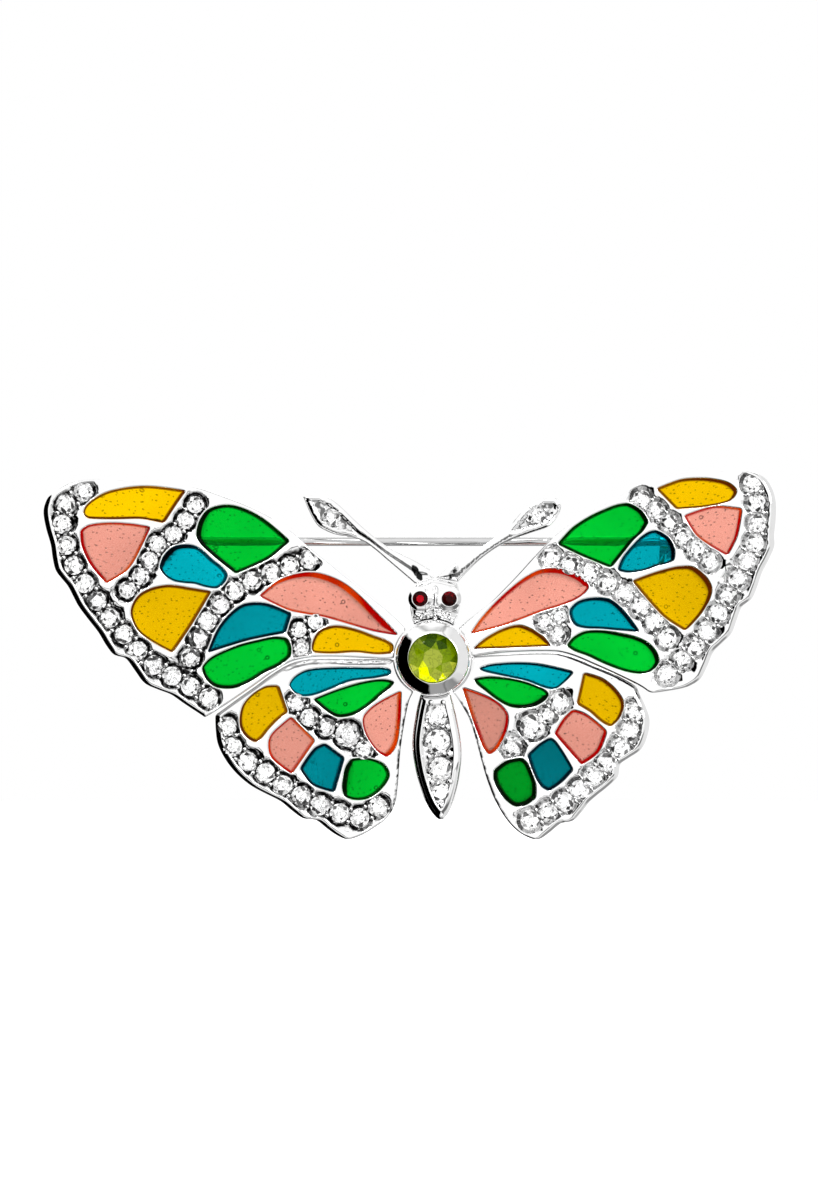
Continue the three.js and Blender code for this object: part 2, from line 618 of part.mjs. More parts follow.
// A ring sector that is open for a slot of the given width along its first axis.
function slottedRing(outer, inner, slot, length) {
  const shape = new THREE.Shape();
  const outerStart = Math.asin(slot / 2 / outer);
  const innerStart = Math.asin(slot / 2 / inner);
  shape.absarc(0, 0, outer, outerStart, 2 * Math.PI - outerStart, false);
  shape.absarc(0, 0, inner, 2 * Math.PI - innerStart, innerStart, true);
  return new THREE.ExtrudeGeometry(shape, { depth: length, bevelEnabled: false, curveSegments: 14 });
}

function catchCase() {
  const { x, length, outer, inner, slot } = CATCH;
  const ring = slottedRing(outer, inner, slot, length)
    .applyMatrix4(ALONG_X)
    .translate(x - length / 2, PIN.y, PIN.z);
  const foot = block(
    new THREE.Vector3(x - length / 2, PIN.y - BELOW_WING, PIN.z - 1),
    new THREE.Vector3(x + length / 2, PIN.y - (outer + inner) / 2, PIN.z + 1),
  );
  return asPlaced('catch_case', cut(join(ring, foot), [wingSlab('right')]), silver());
}

function catchLock() {
  const { outer, inner, slot, lever, leverWidth, leverLength } = LOCK;
  const start = -CATCH.length / 2 - RUNNING_GAP - leverLength;
  const rotor = slottedRing(outer, inner, slot, CATCH.length / 2 - start);
  const tab = block(
    new THREE.Vector3(-leverWidth / 2, -lever, 0),
    new THREE.Vector3(leverWidth / 2, -(outer + inner) / 2, leverLength),
  );
  const placed = join(rotor, tab).applyMatrix4(ALONG_X).translate(CATCH.x + start, PIN.y, PIN.z);
  return asPlaced('catch_lock', placed, silver());
}

// ---- assembly -----------------------------------------------------------------------------
const brooch = new THREE.Group();
addWing('left_forewing', LEFT_FOREWING, 'left', FOREWING_BACK, FOREWING_THICKNESS);
addWing('left_hindwing', LEFT_HINDWING, 'left', HINDWING_BACK, HINDWING_THICKNESS);
addWing('right_forewing', RIGHT_FOREWING, 'right', FOREWING_BACK, FOREWING_THICKNESS);
addWing('right_hindwing', RIGHT_HINDWING, 'right', HINDWING_BACK, HINDWING_THICKNESS);
brooch.add(wings.left.tilted, wings.right.tilted);
brooch.add(thoraxBezel(), peridot(), head());
addEye(brooch, 'left', -1.25, 1.5);
addEye(brooch, 'right', 1.15, 1.4);
addAntenna(brooch, 'left');
addAntenna(brooch, 'right');
addAbdomen(brooch);
brooch.add(hingeBracket(), hingeRivet(), pinStem(), catchCase(), catchLock());

export default brooch;
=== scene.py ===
import math
import random

import bpy
import numpy as np
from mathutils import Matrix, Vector, noise
from mathutils.geometry import delaunay_2d_cdt


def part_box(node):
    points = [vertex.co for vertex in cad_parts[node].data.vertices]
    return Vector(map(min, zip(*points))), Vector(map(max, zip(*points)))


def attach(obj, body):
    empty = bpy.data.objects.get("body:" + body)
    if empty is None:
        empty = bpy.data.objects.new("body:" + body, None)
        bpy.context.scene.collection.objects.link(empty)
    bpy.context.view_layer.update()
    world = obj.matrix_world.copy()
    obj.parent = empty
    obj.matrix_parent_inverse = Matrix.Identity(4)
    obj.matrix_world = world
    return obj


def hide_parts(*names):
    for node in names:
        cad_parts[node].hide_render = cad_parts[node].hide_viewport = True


# A butterfly brooch: sculpted silver frames, see-through enamel panes with a meniscus at their walls,
# round brilliants on drilled seats, and the pin with its hinge and safety catch behind.
# Lengths in the modelling functions are millimetres; only finished meshes are in metres.

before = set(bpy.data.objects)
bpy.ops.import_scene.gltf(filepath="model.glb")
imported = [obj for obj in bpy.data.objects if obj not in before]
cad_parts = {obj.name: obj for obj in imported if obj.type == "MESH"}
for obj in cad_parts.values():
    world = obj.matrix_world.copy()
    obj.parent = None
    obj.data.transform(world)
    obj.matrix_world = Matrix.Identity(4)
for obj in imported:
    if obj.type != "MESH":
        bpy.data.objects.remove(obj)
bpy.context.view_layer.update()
MM = 0.001

# reading the CAD
FACES_FORWARD = 0.97        # the forward share of a face's direction, at least, on a plate's front
SAME_LEVEL = 0.004          # points closer in height than this are at one level of a plate
SAME_STEP = 0.006           # the same for the step under a bevel
SEAT_RATIO = 0.6            # a drilled seat's diameter against its stone's
SMALLEST_CELL = 1.5         # mm2: a loop with less area is a stone's seat

# meshing
LOOP_STEP = 0.14            # spacing of an outline's points
CORNER_TURN = math.radians(48)
RING_KEPT = 0.96            # a ring's point stays at this share of its distance from every border
RING_CLEARANCE = 0.04       # gap between the last ring and the loose points
CLOSEST = 0.05              # least gap between loose points
BACK_GRID = 0.6             # spacing of the loose points on a piece's back

# a wing's metal and the stones in it
SHOULDER = (0.13, 0.56)     # the rounded outer edge's width, on its upper and its outward side
SHOULDER_RISE = 1.15        # its depth against its width
CELL_EDGE = 0.1             # radius of the metal's edge round a pane
CHANNEL_DEPTH = 0.3         # the stones' channel under the rails
GROOVE_DEPTH = 0.3          # the groove round each stone, under the channel
RAIL_SIDE = (0.14, 0.2)     # where the rails' inner side starts and ends, from the border
CHANNEL_SIDE = (0.22, 0.34)  # where the channel's side starts and ends, from a stone
THORAX_SIDE = (3.5, 4.1)    # distances from the thorax's centre over which the outward shoulder starts
STONE_SINK = 0.1            # a stone's girdle under the face of its frame
STONE_FIT = 0.97            # a stone's radius against the one that its seat was drilled for
BEAD_SINK = 0.12            # a bead's centre under the face of its frame
BEAD_RADIUS = 0.19
BEAD_REACH = 0.5            # stones with a wider gap than this hold no beads between them
WINGS = ("left_forewing", "left_hindwing", "right_forewing", "right_hindwing")
SIDES = {"left": -1.0, "right": 1.0}


# ---- reading the CAD ----
def welded(node):
    """The node's corner points in mm and its triangles."""
    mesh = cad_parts[node].data
    raw = np.array([v.co[:] for v in mesh.vertices]) / MM
    points, index = np.unique(np.round(raw, 3), axis=0, return_inverse=True)
    index = index.reshape(-1)
    return points, [[int(index[i]) for i in p.vertices] for p in mesh.polygons]


class Plane:
    """A plate's own axes: across, up, and out of its front."""

    def __init__(self, out):
        self.out = np.array(out)
        self.across = np.cross((0, 0, 1), self.out)
        self.across /= np.linalg.norm(self.across)
        self.up = np.cross(self.out, self.across)

    def flat(self, points):
        """Points in mm as places along the plate's own axes."""
        return np.asarray(points) @ np.array([self.across, self.up, self.out]).T

    def world(self, flat):
        """Places in mm along the plate's own axes as points in metres."""
        return np.asarray(flat) @ np.array([self.across, self.up, self.out]) * MM


FACING = Plane((0.0, -1.0, 0.0))


def front_of(points, faces):
    """The plane of a plate's front."""
    total = np.zeros(3)
    for face in faces:
        a, b, c = points[face[:3]]
        area = np.cross(b - a, c - a)
        if area[1] < -FACES_FORWARD * np.linalg.norm(area):
            total += area
    return Plane(total / np.linalg.norm(total))


def area_of(loop):
    """The loop's area in mm2, negative where it runs clockwise."""
    after = np.roll(loop, -1, axis=0)
    return 0.5 * float((loop[:, 0] * after[:, 1] - after[:, 0] * loop[:, 1]).sum())


def loops_at(flat, faces, level):
    """The borders of the faces at one height, as loops with the metal on their left."""
    level_points = np.abs(flat[:, 2] - level) < SAME_LEVEL
    edges = set()
    for face in faces:
        if all(level_points[i] for i in face):
            edges.update(zip(face, face[1:] + face[:1]))
    following = {a: b for a, b in edges if (b, a) not in edges}
    loops = []
    while following:
        start, at = following.popitem()
        chain = [start]
        while at != start:
            chain.append(at)
            at = following.pop(at)
        loops.append(flat[chain, :2])
    return loops


# ---- outlines ----
def spline(points, closed):
    """Points along a Catmull-Rom curve through the given ones."""
    p = np.vstack([points[-1:], points, points[:2]]) if closed else np.vstack(
        [2 * points[:1] - points[1:2], points, 2 * points[-1:] - points[-2:-1]])
    t = np.linspace(0, 1, 9)[:-1, None]
    rows = []
    for a, b, c, d in zip(p, p[1:], p[2:], p[3:]):
        rows.append(0.5 * (2 * b + (c - a) * t + (2 * a - 5 * b + 4 * c - d) * t**2
                           + (3 * b - a - 3 * c + d) * t**3))
    rows.append(p[-2:-1])
    return np.vstack(rows)


def evenly(points, step):
    """The polyline's points at even spacing, with its last point left out."""
    lengths = np.linalg.norm(np.diff(points, axis=0), axis=1)
    along = np.concatenate([[0], np.cumsum(lengths)])
    count = max(2, round(along[-1] / step))
    places = np.linspace(0, along[-1], count + 1)[:-1]
    return np.stack([np.interp(places, along, points[:, k]) for k in range(2)], axis=1)


def smooth_loop(loop, step=LOOP_STEP, passes=2):
    """The loop as an evenly spaced curve, broken at its corners, which each pass rounds a little."""
    arriving = loop - np.roll(loop, 1, axis=0)
    leaving = np.roll(loop, -1, axis=0) - loop
    turn = np.arctan2(arriving[:, 0] * leaving[:, 1] - arriving[:, 1] * leaving[:, 0],
                      (arriving * leaving).sum(axis=1))
    corners = list(np.nonzero(np.abs(turn) > CORNER_TURN)[0])
    if corners:
        turned = np.roll(loop, -corners[0], axis=0)
        cuts = [c - corners[0] for c in corners] + [len(loop)]
        closed = np.vstack([turned, turned[:1]])
        runs = [spline(closed[a:b + 1], False) for a, b in zip(cuts, cuts[1:])]
    else:
        runs = [spline(loop, True)]
    even = np.vstack([evenly(run, step) for run in runs])
    for _ in range(passes):
        even = 0.5 * even + 0.25 * (np.roll(even, 1, axis=0) + np.roll(even, -1, axis=0))
    return even


def offset(loop, distance):
    """The loop moved to its left."""
    along = np.roll(loop, -1, axis=0) - np.roll(loop, 1, axis=0)
    along /= np.linalg.norm(along, axis=1)[:, None]
    return loop + distance * np.stack([-along[:, 1], along[:, 0]], axis=1)


def nearest(points, loops, facing=None):
    """Each point's distance to the nearest edge of the loops, and the way out across it. A facing
    direction leaves out the edges that face away from it."""
    a = np.vstack(loops)
    b = np.vstack([np.roll(loop, -1, axis=0) for loop in loops])
    ab = b - a
    length = np.maximum((ab * ab).sum(axis=1), 1e-12)
    outwards = np.stack([ab[:, 1], -ab[:, 0]], axis=1) / np.sqrt(length)[:, None]
    if facing is not None:
        kept = outwards @ np.array(facing) > 0.1
        a, ab, length, outwards = a[kept], ab[kept], length[kept], outwards[kept]
    far, way = [], []
    for chunk in np.array_split(points, max(1, len(points) // 1500)):
        ap = chunk[:, None, :] - a[None]
        t = np.clip((ap * ab[None]).sum(axis=2) / length[None], 0, 1)
        rest = t[..., None] * ab[None] - ap
        square = (rest * rest).sum(axis=2)
        pick = square.argmin(axis=1)
        rows = np.arange(len(chunk))
        far.append(np.sqrt(square[rows, pick]))
        way.append(outwards[pick])
    return np.concatenate(far), np.vstack(way)


def inside(points, loop):
    """Which points are inside the loop."""
    a, b = loop, np.roll(loop, -1, axis=0)
    x, y = points[:, :1], points[:, 1:]
    spans = (a[None, :, 1] > y) != (b[None, :, 1] > y)
    rise = np.where(np.abs(b[:, 1] - a[:, 1]) < 1e-12, 1e-12, b[:, 1] - a[:, 1])
    cross_x = (b[:, 0] - a[:, 0]) / rise * (y - a[:, 1]) + a[:, 0]
    return (spans & (x < cross_x)).sum(axis=1) % 2 == 1


def in_metal(points, loops):
    """Which points are inside the first loop and outside the others."""
    within = inside(points, loops[0])
    for hole in loops[1:]:
        within &= ~inside(points, hole)
    return within


# ---- sculpted plates ----
def thinned(points, gap):
    """The points with those closer than the gap to an earlier one left out."""
    seen, kept = set(), []
    for p in points:
        cell = (int(p[0] // gap), int(p[1] // gap))
        near = {(cell[0] + i, cell[1] + j) for i in (-1, 0, 1) for j in (-1, 0, 1)}
        if not near & seen:
            seen.add(cell)
            kept.append(p)
    return np.array(kept)


def triangulate(loops, rings, extra, grid):
    """A triangle mesh between the loops, with points on rings along them and on a grid."""
    border = np.vstack(loops)
    edges, start = [], 0
    for loop in loops:
        n = len(loop)
        edges += [(start + i, start + (i + 1) % n) for i in range(n)]
        start += n
    inner = []
    for distance in rings:
        ring = np.vstack([offset(loop, distance) for loop in loops])
        ring = ring[in_metal(ring, loops)]
        far, _ = nearest(ring, loops)
        inner.append(ring[far > RING_KEPT * distance])
    low, high = border.min(axis=0), border.max(axis=0)
    xs, ys = np.meshgrid(np.arange(low[0], high[0], grid), np.arange(low[1], high[1], grid))
    loose = np.vstack([extra, np.stack([xs.ravel(), ys.ravel()], axis=1)])
    loose = loose[in_metal(loose, loops)]
    far, _ = nearest(loose, loops)
    loose = loose[far > rings[-1] + RING_CLEARANCE]
    inner.append(thinned(loose, CLOSEST))
    points = np.vstack([border] + [p for p in inner if len(p)])
    verts, _, faces, origin, _, _ = delaunay_2d_cdt(
        [Vector(p) for p in points], edges, [], 0, 1e-6, True)
    xy = np.array([v[:] for v in verts])
    centres = np.array([xy[list(f)].mean(axis=0) for f in faces])
    kept = [list(f) for f, ok in zip(faces, in_metal(centres, loops)) if ok]
    of_border = {}
    for i, came_from in enumerate(origin):
        for source in came_from:
            if source < len(border):
                of_border[source] = i
    return xy, kept, of_border, edges


def placed(name, data):
    """A new object in the scene."""
    thing = bpy.data.objects.new(name, data)
    bpy.context.scene.collection.objects.link(thing)
    return thing


def make_object(name, verts, faces, material, smooth=True):
    """A new mesh object, from points in metres."""
    mesh = bpy.data.meshes.new(name)
    mesh.from_pydata([tuple(v) for v in verts], [], faces)
    mesh.validate()
    mesh.update()
    if smooth:
        mesh.polygons.foreach_set("use_smooth", [True] * len(mesh.polygons))
    mesh.materials.append(material)
    return placed(name, mesh)


def sculpted(name, plane, loops, front, back, material, extra=(), grid=0.5, marks=None):
    """A closed plate whose front and back heights are functions of place.

    front and back are (rings, height function) pairs; marks names a function of place whose values
    the material reads. The mark for painted shade in recesses is set on the front alone."""
    top_xy, top_faces, top_of, edges = triangulate(loops, front[0], np.reshape(extra, (-1, 2)), grid)
    low_xy, low_faces, low_of, _ = triangulate(loops, back[0], np.zeros((0, 2)), BACK_GRID)
    shift = len(top_xy)
    top = np.column_stack([top_xy, front[1](top_xy)])
    low = np.column_stack([low_xy, back[1](low_xy)])
    faces = top_faces + [[i + shift for i in reversed(f)] for f in low_faces]
    for a, b in edges:
        faces.append([top_of[b], top_of[a], low_of[a] + shift, low_of[b] + shift])
    thing = make_object(name, plane.world(np.vstack([top, low])), faces, material)
    wall = thing.data.attributes.new("sharp_edge", "BOOLEAN", "EDGE")
    rim_edges = {frozenset((top_of[a], top_of[b])) for a, b in edges}
    rim_edges |= {frozenset((low_of[a] + shift, low_of[b] + shift)) for a, b in edges}
    wall.data.foreach_set("value", [frozenset(e.vertices) in rim_edges for e in thing.data.edges])
    for label, value_at in (marks or {}).items():
        behind = np.zeros(len(low_xy)) if label == "painted_recess_shade" else value_at(low_xy)
        values = np.concatenate([value_at(top_xy), behind])
        layer = thing.data.attributes.new(label, "FLOAT", "POINT")
        layer.data.foreach_set("value", values)
    return thing


def shoulder(distance, width, drop):
    """How far a quarter-ellipse edge lies under the face at a distance from the border."""
    t = np.clip(1 - distance / width, 0, 1)
    return drop * (1 - np.sqrt(1 - t * t))


def rounded_back(back, loops, width):
    """The height of a flat back whose edge is rounded over a width, as a function of place."""
    return lambda xy: back + shoulder(nearest(xy, loops)[0], width, width)


def fade(value, low, high):
    """0 under the low value, 1 over the high one, and a smooth step between."""
    t = np.clip((value - low) / (high - low), 0, 1)
    return t * t * (3 - 2 * t)


def stone_gap(xy, stones):
    """Each point's distance to the nearest stone's edge."""
    gaps = [np.hypot(xy[:, 0] - s[0], xy[:, 1] - s[1]) - s[2] for s in stones]
    return np.min(gaps, axis=0) if gaps else np.full(len(xy), 9.0)


def stone_rings(stones):
    """Mesh points on circles round each stone, where its groove is."""
    turns = np.linspace(0, 2 * math.pi, 29)[:-1]
    circle = np.stack([np.cos(turns), np.sin(turns)], axis=1)
    return [row for x, y, r in stones for d in (0.03, 0.1, 0.17, 0.25, -0.2)
            for row in (np.array([x, y]) + (r + d) * circle)]


def fit(thing, replaced=None, body="brooch"):
    """Puts a finished piece on its body and hides the CAD node it stands for."""
    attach(thing, body)
    if replaced:
        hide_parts(replaced)


# ---- materials ----
class Nodes:
    """A short hand for building a tree of nodes."""

    def __init__(self, tree):
        self.tree = tree

    def add(self, kind, **settings):
        node = self.tree.nodes.new(kind)
        for key, value in settings.items():
            setattr(node, key, value)
        return node

    def link(self, source, target):
        self.tree.links.new(source, target)

    def feed(self, node, **sockets):
        """Gives the node's named inputs their values, or links them to other nodes' outputs."""
        for name, value in sockets.items():
            socket = node.inputs[name.replace("_", " ")]
            if isinstance(value, bpy.types.NodeSocket):
                self.link(value, socket)
            else:
                socket.default_value = value

    def ramp(self, source, stops):
        node = self.add("ShaderNodeValToRGB")
        ramp = node.color_ramp
        while len(ramp.elements) < len(stops):
            ramp.elements.new(0.5)
        for element, (at, colour) in zip(ramp.elements, stops):
            element.position = at
            element.color = (*colour, 1) if isinstance(colour, tuple) else (colour, colour, colour, 1)
        self.link(source, node.inputs["Fac"])
        return node.outputs["Color"]

    def mix(self, factor, first, second, blend="MIX"):
        node = self.add("ShaderNodeMix", data_type="RGBA", blend_type=blend)
        for source, socket in ((factor, 0), (first, 6), (second, 7)):
            if isinstance(source, (int, float)):
                node.inputs[socket].default_value = source
            elif isinstance(source, tuple):
                node.inputs[socket].default_value = (*source, 1)
            else:
                self.link(source, node.inputs[socket])
        return node.outputs[2]


class Surface(Nodes):
    """A material's nodes."""

    def __init__(self, name):
        self.material = bpy.data.materials.new(name)
        self.material.use_nodes = True
        super().__init__(self.material.node_tree)
        self.shader = self.tree.nodes["Principled BSDF"]
        self.place = self.add("ShaderNodeTexCoord").outputs["Object"]

    def mark(self, name):
        """The values that the mesh carries under a name."""
        return self.add("ShaderNodeAttribute", attribute_name=name).outputs["Fac"]

    def noise(self, scale, detail=3.0, roughness=0.5):
        node = self.add("ShaderNodeTexNoise")
        self.feed(node, Scale=scale, Detail=detail, Roughness=roughness, Vector=self.place)
        return node.outputs["Fac"]

    def bump(self, source, distance, strength):
        node = self.add("ShaderNodeBump")
        self.feed(node, Distance=distance, Strength=strength, Height=source)
        self.set(Normal=node.outputs["Normal"])

    def dots(self, scale, inner, outer):
        """Small rings scattered over the face, or full dots where the inner radius is 0."""
        turned = self.add("ShaderNodeMapping")
        self.feed(turned, Rotation=(math.pi / 2, 0, 0), Vector=self.place)
        cells = self.add("ShaderNodeTexVoronoi", voronoi_dimensions="2D", feature="F1")
        self.feed(cells, Scale=scale, Vector=turned.outputs["Vector"])
        stops = [(outer, 1.0), (outer * 1.3, 0.0)]
        if inner:
            stops = [(inner * 0.8, 0.0), (inner, 1.0)] + stops
        return self.ramp(cells.outputs["Distance"], stops)

    def set(self, **sockets):
        self.feed(self.shader, **sockets)


def silver(name, light=0.93, rough=(0.03, 0.09), grain=0.0000012, painted_shade=False, waves=5000.0):
    """Polished rhodium plate: nearly white, with faint polishing marks, and, where asked, with painted
    shade darkening its recesses.

    rough is the range of its roughness, grain the height of its fine waves in metres and waves how
    close they are."""
    n = Surface(name)
    n.set(Metallic=1.0)
    shade = n.ramp(n.noise(900.0, 4.0), [(0.3, (light * 0.95,) * 3), (0.7, (light, light, light))])
    # painted shade: the recess mark, broken into mottled patches, darkens the metal nearly to black
    if painted_shade:
        patches = n.ramp(n.noise(2600.0, 2.0), [(0.4, 0.25), (0.56, 1.0)])
        dark = n.ramp(n.mix(1.0, n.mark("painted_recess_shade"), patches, "MULTIPLY"), [(0.1, 1.0), (0.7, 0.02)])
        shade = n.mix(1.0, shade, dark, "MULTIPLY")
    roughness = n.ramp(n.noise(1500.0, 5.0, 0.6), [(0.35, rough[0]), (0.75, rough[1])])
    n.set(Base_Color=shade, Roughness=roughness)
    n.bump(n.noise(waves, 2.0), grain, 0.6)
    return n.material


def enamel(name, colour, rim_colour, see_through=0.9, rim_light=None):
    """Fired transparent enamel with specks and bubbles in it, much darker along its walls: partly the
    thicker enamel where it climbs them, partly painted wall shadow.
    A second rim colour takes turns with the first."""
    n = Surface(name)
    n.set(IOR=1.2, Roughness=0.03, Transmission_Weight=see_through, Specular_IOR_Level=0.3)
    n.set(Specular_Tint=(0.2, 0.2, 0.2, 1))
    rim = n.mark("rim")
    body = n.ramp(n.noise(170.0, 1.0), [(0.35, tuple(c * 0.86 for c in colour)), (0.65, colour)])
    body = n.mix(1.0, body, n.ramp(n.mark("depth"), [(0.0, 0.0), (1.0, 1.0)]), "MULTIPLY")
    # painted wall shadow over thicker enamel: the rim mark darkens the colour towards the walls, then
    # gives way to the rim colour
    shade = n.ramp(rim, [(0.05, 1.0), (0.36, 0.6)])
    shaded = n.mix(1.0, body, shade, "MULTIPLY")
    edge = n.ramp(rim, [(0.38, 0.0), (0.48, 1.0)])
    if rim_light:
        rim_colour = n.ramp(n.noise(230.0, 1.0), [(0.46, rim_colour), (0.6, rim_light)])
    rimmed = n.mix(edge, shaded, rim_colour)
    speck_patches = n.ramp(n.noise(900.0, 1.0), [(0.44, 0.0), (0.5, 1.0)])
    specks = n.mix(1.0, n.dots(1900.0, 0.0, 0.085), speck_patches, "MULTIPLY")
    bubble_patches = n.ramp(n.noise(250.0, 1.0), [(0.5, 0.0), (0.52, 0.8)])
    bubbles = n.mix(1.0, n.dots(330.0, 0.035, 0.052), bubble_patches, "MULTIPLY")
    marked = n.mix(1.0, specks, bubbles, "ADD")
    speckled = n.mix(marked, rimmed, tuple(c * 0.13 for c in colour))
    n.set(Base_Color=speckled)
    n.bump(n.noise(420.0, 2.0), 0.00002, 0.5)
    return n.material


def gem(name, colours, ior, see_through, painted_glow=0.0, lines=0.0):
    """A cut stone whose facets take their colours, dark to light, from painted light: a value per facet
    that paints the reflections and shade of a cut stone. Fine dark lines, also painted reflection, stand
    for the edges of deeper facets. A glow adds painted light as emission in the facets' colours."""
    n = Surface(name)
    n.set(IOR=ior, Roughness=0.0, Transmission_Weight=see_through)
    last = len(colours) - 1
    tint = n.ramp(n.mark("tone"), [(0.02 + 0.96 * k / last, colour) for k, colour in enumerate(colours)])
    # painted reflections: fine dark lines drawn across the facets
    if lines:
        dark_line = [(0.46, 1.0), (0.49, 1 - lines), (0.51, 1 - lines), (0.54, 1.0)]
        drawn = n.ramp(n.noise(2300.0, 3.0, 0.6), dark_line)
        tint = n.mix(1.0, tint, drawn, "MULTIPLY")
    n.set(Base_Color=tint, Specular_Tint=(0.5, 0.5, 0.5, 1))
    # painted light: the facets give off light in their own colours, to look brighter
    if painted_glow:
        n.set(Emission_Color=tint, Emission_Strength=painted_glow)
    return n.material


SILVER = silver("polished_silver")
# pavé metal whose recesses are darkened by painted shade
PAVE_SILVER = silver("pave_silver", painted_shade=True)
COLLAR_SILVER = silver("collar_silver", 0.95, (0.02, 0.06), 0.00005, waves=750.0)
BEAD_SILVER = silver("bead_silver", 0.92, (0.03, 0.08), 0.0000008)
BACK_SILVER = silver("finding_silver", 0.88, (0.08, 0.2), 0.000002)
STEEL = silver("pin_steel", 0.66, (0.07, 0.16), 0.000002)
# Facet colours are painted reflections and painted light: the clear stones are colourless, the peridot's
# yellow-green and the garnet's dark red are their own, and their light and dark facets and the glow are
# painted.
CLEAR = gem("clear_stone", [0.02, 0.3, 0.97], 1.9, 0.4, 0.34, 0.72)
PERIDOT_TONES = [(0.03, 0.07, 0.0), (0.17, 0.26, 0.0), (0.34, 0.38, 0.05), (0.85, 0.9, 0.0)]
PERIDOT = gem("peridot_stone", PERIDOT_TONES, 1.3, 0.35, 0.25, 0.35)
GARNET = gem("garnet_stone", [(0.01, 0.0, 0.0), (0.05, 0.002, 0.002), (0.5, 0.0, 0.01)], 1.3, 0.3)
ENAMELS = {
    "yellow": enamel("enamel_yellow", (1.0, 0.6, 0.0), (0.1, 0.014, 0.0)),
    "pink": enamel("enamel_pink", (0.95, 0.4, 0.31), (0.4, 0.0, 0.0), 0.8, (0.7, 0.05, 0.0)),
    "green": enamel("enamel_green", (0.0, 0.58, 0.03), (0.0, 0.004, 0.0)),
    "teal": enamel("enamel_teal", (0.0, 0.45, 0.54), (0.0, 0.004, 0.01)),
}


# ---- stones ----
def brilliant_mesh(radius, crown, pavilion, table, turn):
    """A 57-facet round brilliant, girdle at height 0: points and faces in its own axes."""
    eighth = math.pi / 4

    def ring(count, r, h, start=0.0):
        return [(r * math.cos(start + k * 2 * math.pi / count + turn),
                 r * math.sin(start + k * 2 * math.pi / count + turn), h) for k in range(count)]

    edge = 0.035 * radius
    points = ring(8, table * radius, crown)
    points += ring(8, 0.5 * (1.0 + table) * radius, crown * 0.52, eighth / 2)
    points += ring(16, radius, edge)
    points += ring(16, radius, -edge)
    points += ring(8, 0.3 * radius, -pavilion * 0.76, eighth / 2)
    points.append((0, 0, -pavilion))
    culet = len(points) - 1
    faces = [list(range(8))]
    for i in range(8):
        j, h = (i + 1) % 8, (i - 1) % 8
        main, half, following = 16 + 2 * i, 16 + 2 * i + 1, 16 + (2 * i + 2) % 16
        faces += [[i, 8 + i, j], [i, 8 + h, main, 8 + i]]
        faces += [[8 + i, main, half], [8 + i, half, following]]
        faces += [[main, main + 16, half + 16, half], [half, half + 16, following + 16, following]]
        faces += [[48 + i, half + 16, main + 16], [48 + i, following + 16, half + 16]]
        faces.append([culet, 48 + i, main + 16, 48 + h])
    return np.array(points), faces


# The kinds of facet, in the order in which brilliant_mesh makes them.
KINDS = ["table"] + 8 * ["star", "kite", "half", "half", "girdle", "girdle", "low", "low", "pavilion"]


def clear_painted_light(kind, across, up, chance):
    """Painted reflections: mostly white facets, with dark ones among them and a dark girdle."""
    if kind in ("table", "girdle"):
        return 1.0 if kind == "table" else 0.0
    dark = {"star": 0.3, "kite": 0.22, "half": 0.3, "low": 0.35, "pavilion": 0.3}[kind]
    return 0.25 * chance.random() if chance.random() < dark else 0.7 + 0.3 * chance.random()


def peridot_painted_light(kind, across, up, chance):
    """Painted light: dark green facets above, a pale table and bright yellow facets below."""
    if kind == "table":
        return 0.6
    return float(np.clip(0.45 - 0.5 * up - 0.14 * across + 0.6 * (chance.random() - 0.5), 0, 1))


def garnet_painted_light(kind, across, up, chance):
    """Painted reflections: a red table in a ring of nearly black facets."""
    return 0.95 if kind == "table" else 0.4 * chance.random()


def dim_garnet_painted_light(kind, across, up, chance):
    """Painted light: dark brownish red all over, a little redder above."""
    return float(np.clip(0.3 + 0.5 * up + 0.3 * (chance.random() - 0.5), 0, 1))


def set_stone(name, plane, place, radius, material, turn, shape=(0.3, 0.86, 0.56),
              painted_light_of=clear_painted_light):
    """A stone with its girdle's centre at a place and with its crown, pavilion and table as shares
    of its radius."""
    crown, pavilion, table = shape
    points, faces = brilliant_mesh(radius, crown * radius, pavilion * radius, table, turn)
    middles = [points[f].mean(axis=0) / radius for f in faces]
    points = points + np.array(place)
    faces = [f if outward(points, f, place) else f[::-1] for f in faces]
    stone = make_object(name, plane.world(points), faces, material, smooth=False)
    chance = random.Random(name)
    # each facet's painted light and shade, by its kind and its place, read by the stone's material
    painted_lights = [painted_light_of(kind, m[0], m[1], chance) for kind, m in zip(KINDS, middles)]
    stone.data.attributes.new("tone", "FLOAT", "FACE").data.foreach_set("value", painted_lights)
    return stone


def outward(points, face, centre):
    """Whether the face looks away from the centre."""
    a, b, c = points[face[0]], points[face[1]], points[face[2]]
    return float(np.dot(np.cross(b - a, c - a), (a + b + c) / 3 - np.array(centre))) > 0


def bead_points(stones, spread=0.66):
    """Places for the beads that hold a row of stones: two beside each point where stones meet."""
    places = []
    for i, (x1, y1, r1) in enumerate(stones):
        for x2, y2, r2 in stones[i + 1:]:
            apart = math.hypot(x2 - x1, y2 - y1)
            if apart > r1 + r2 + BEAD_REACH:
                continue
            share = (apart + r1 - r2) / 2 / apart
            mid = (x1 + (x2 - x1) * share, y1 + (y2 - y1) * share)
            side = spread * min(r1, r2)
            normal = (-(y2 - y1) / apart, (x2 - x1) / apart)
            places += [(mid[0] + s * side * normal[0], mid[1] + s * side * normal[1]) for s in (1, -1)]
    return places


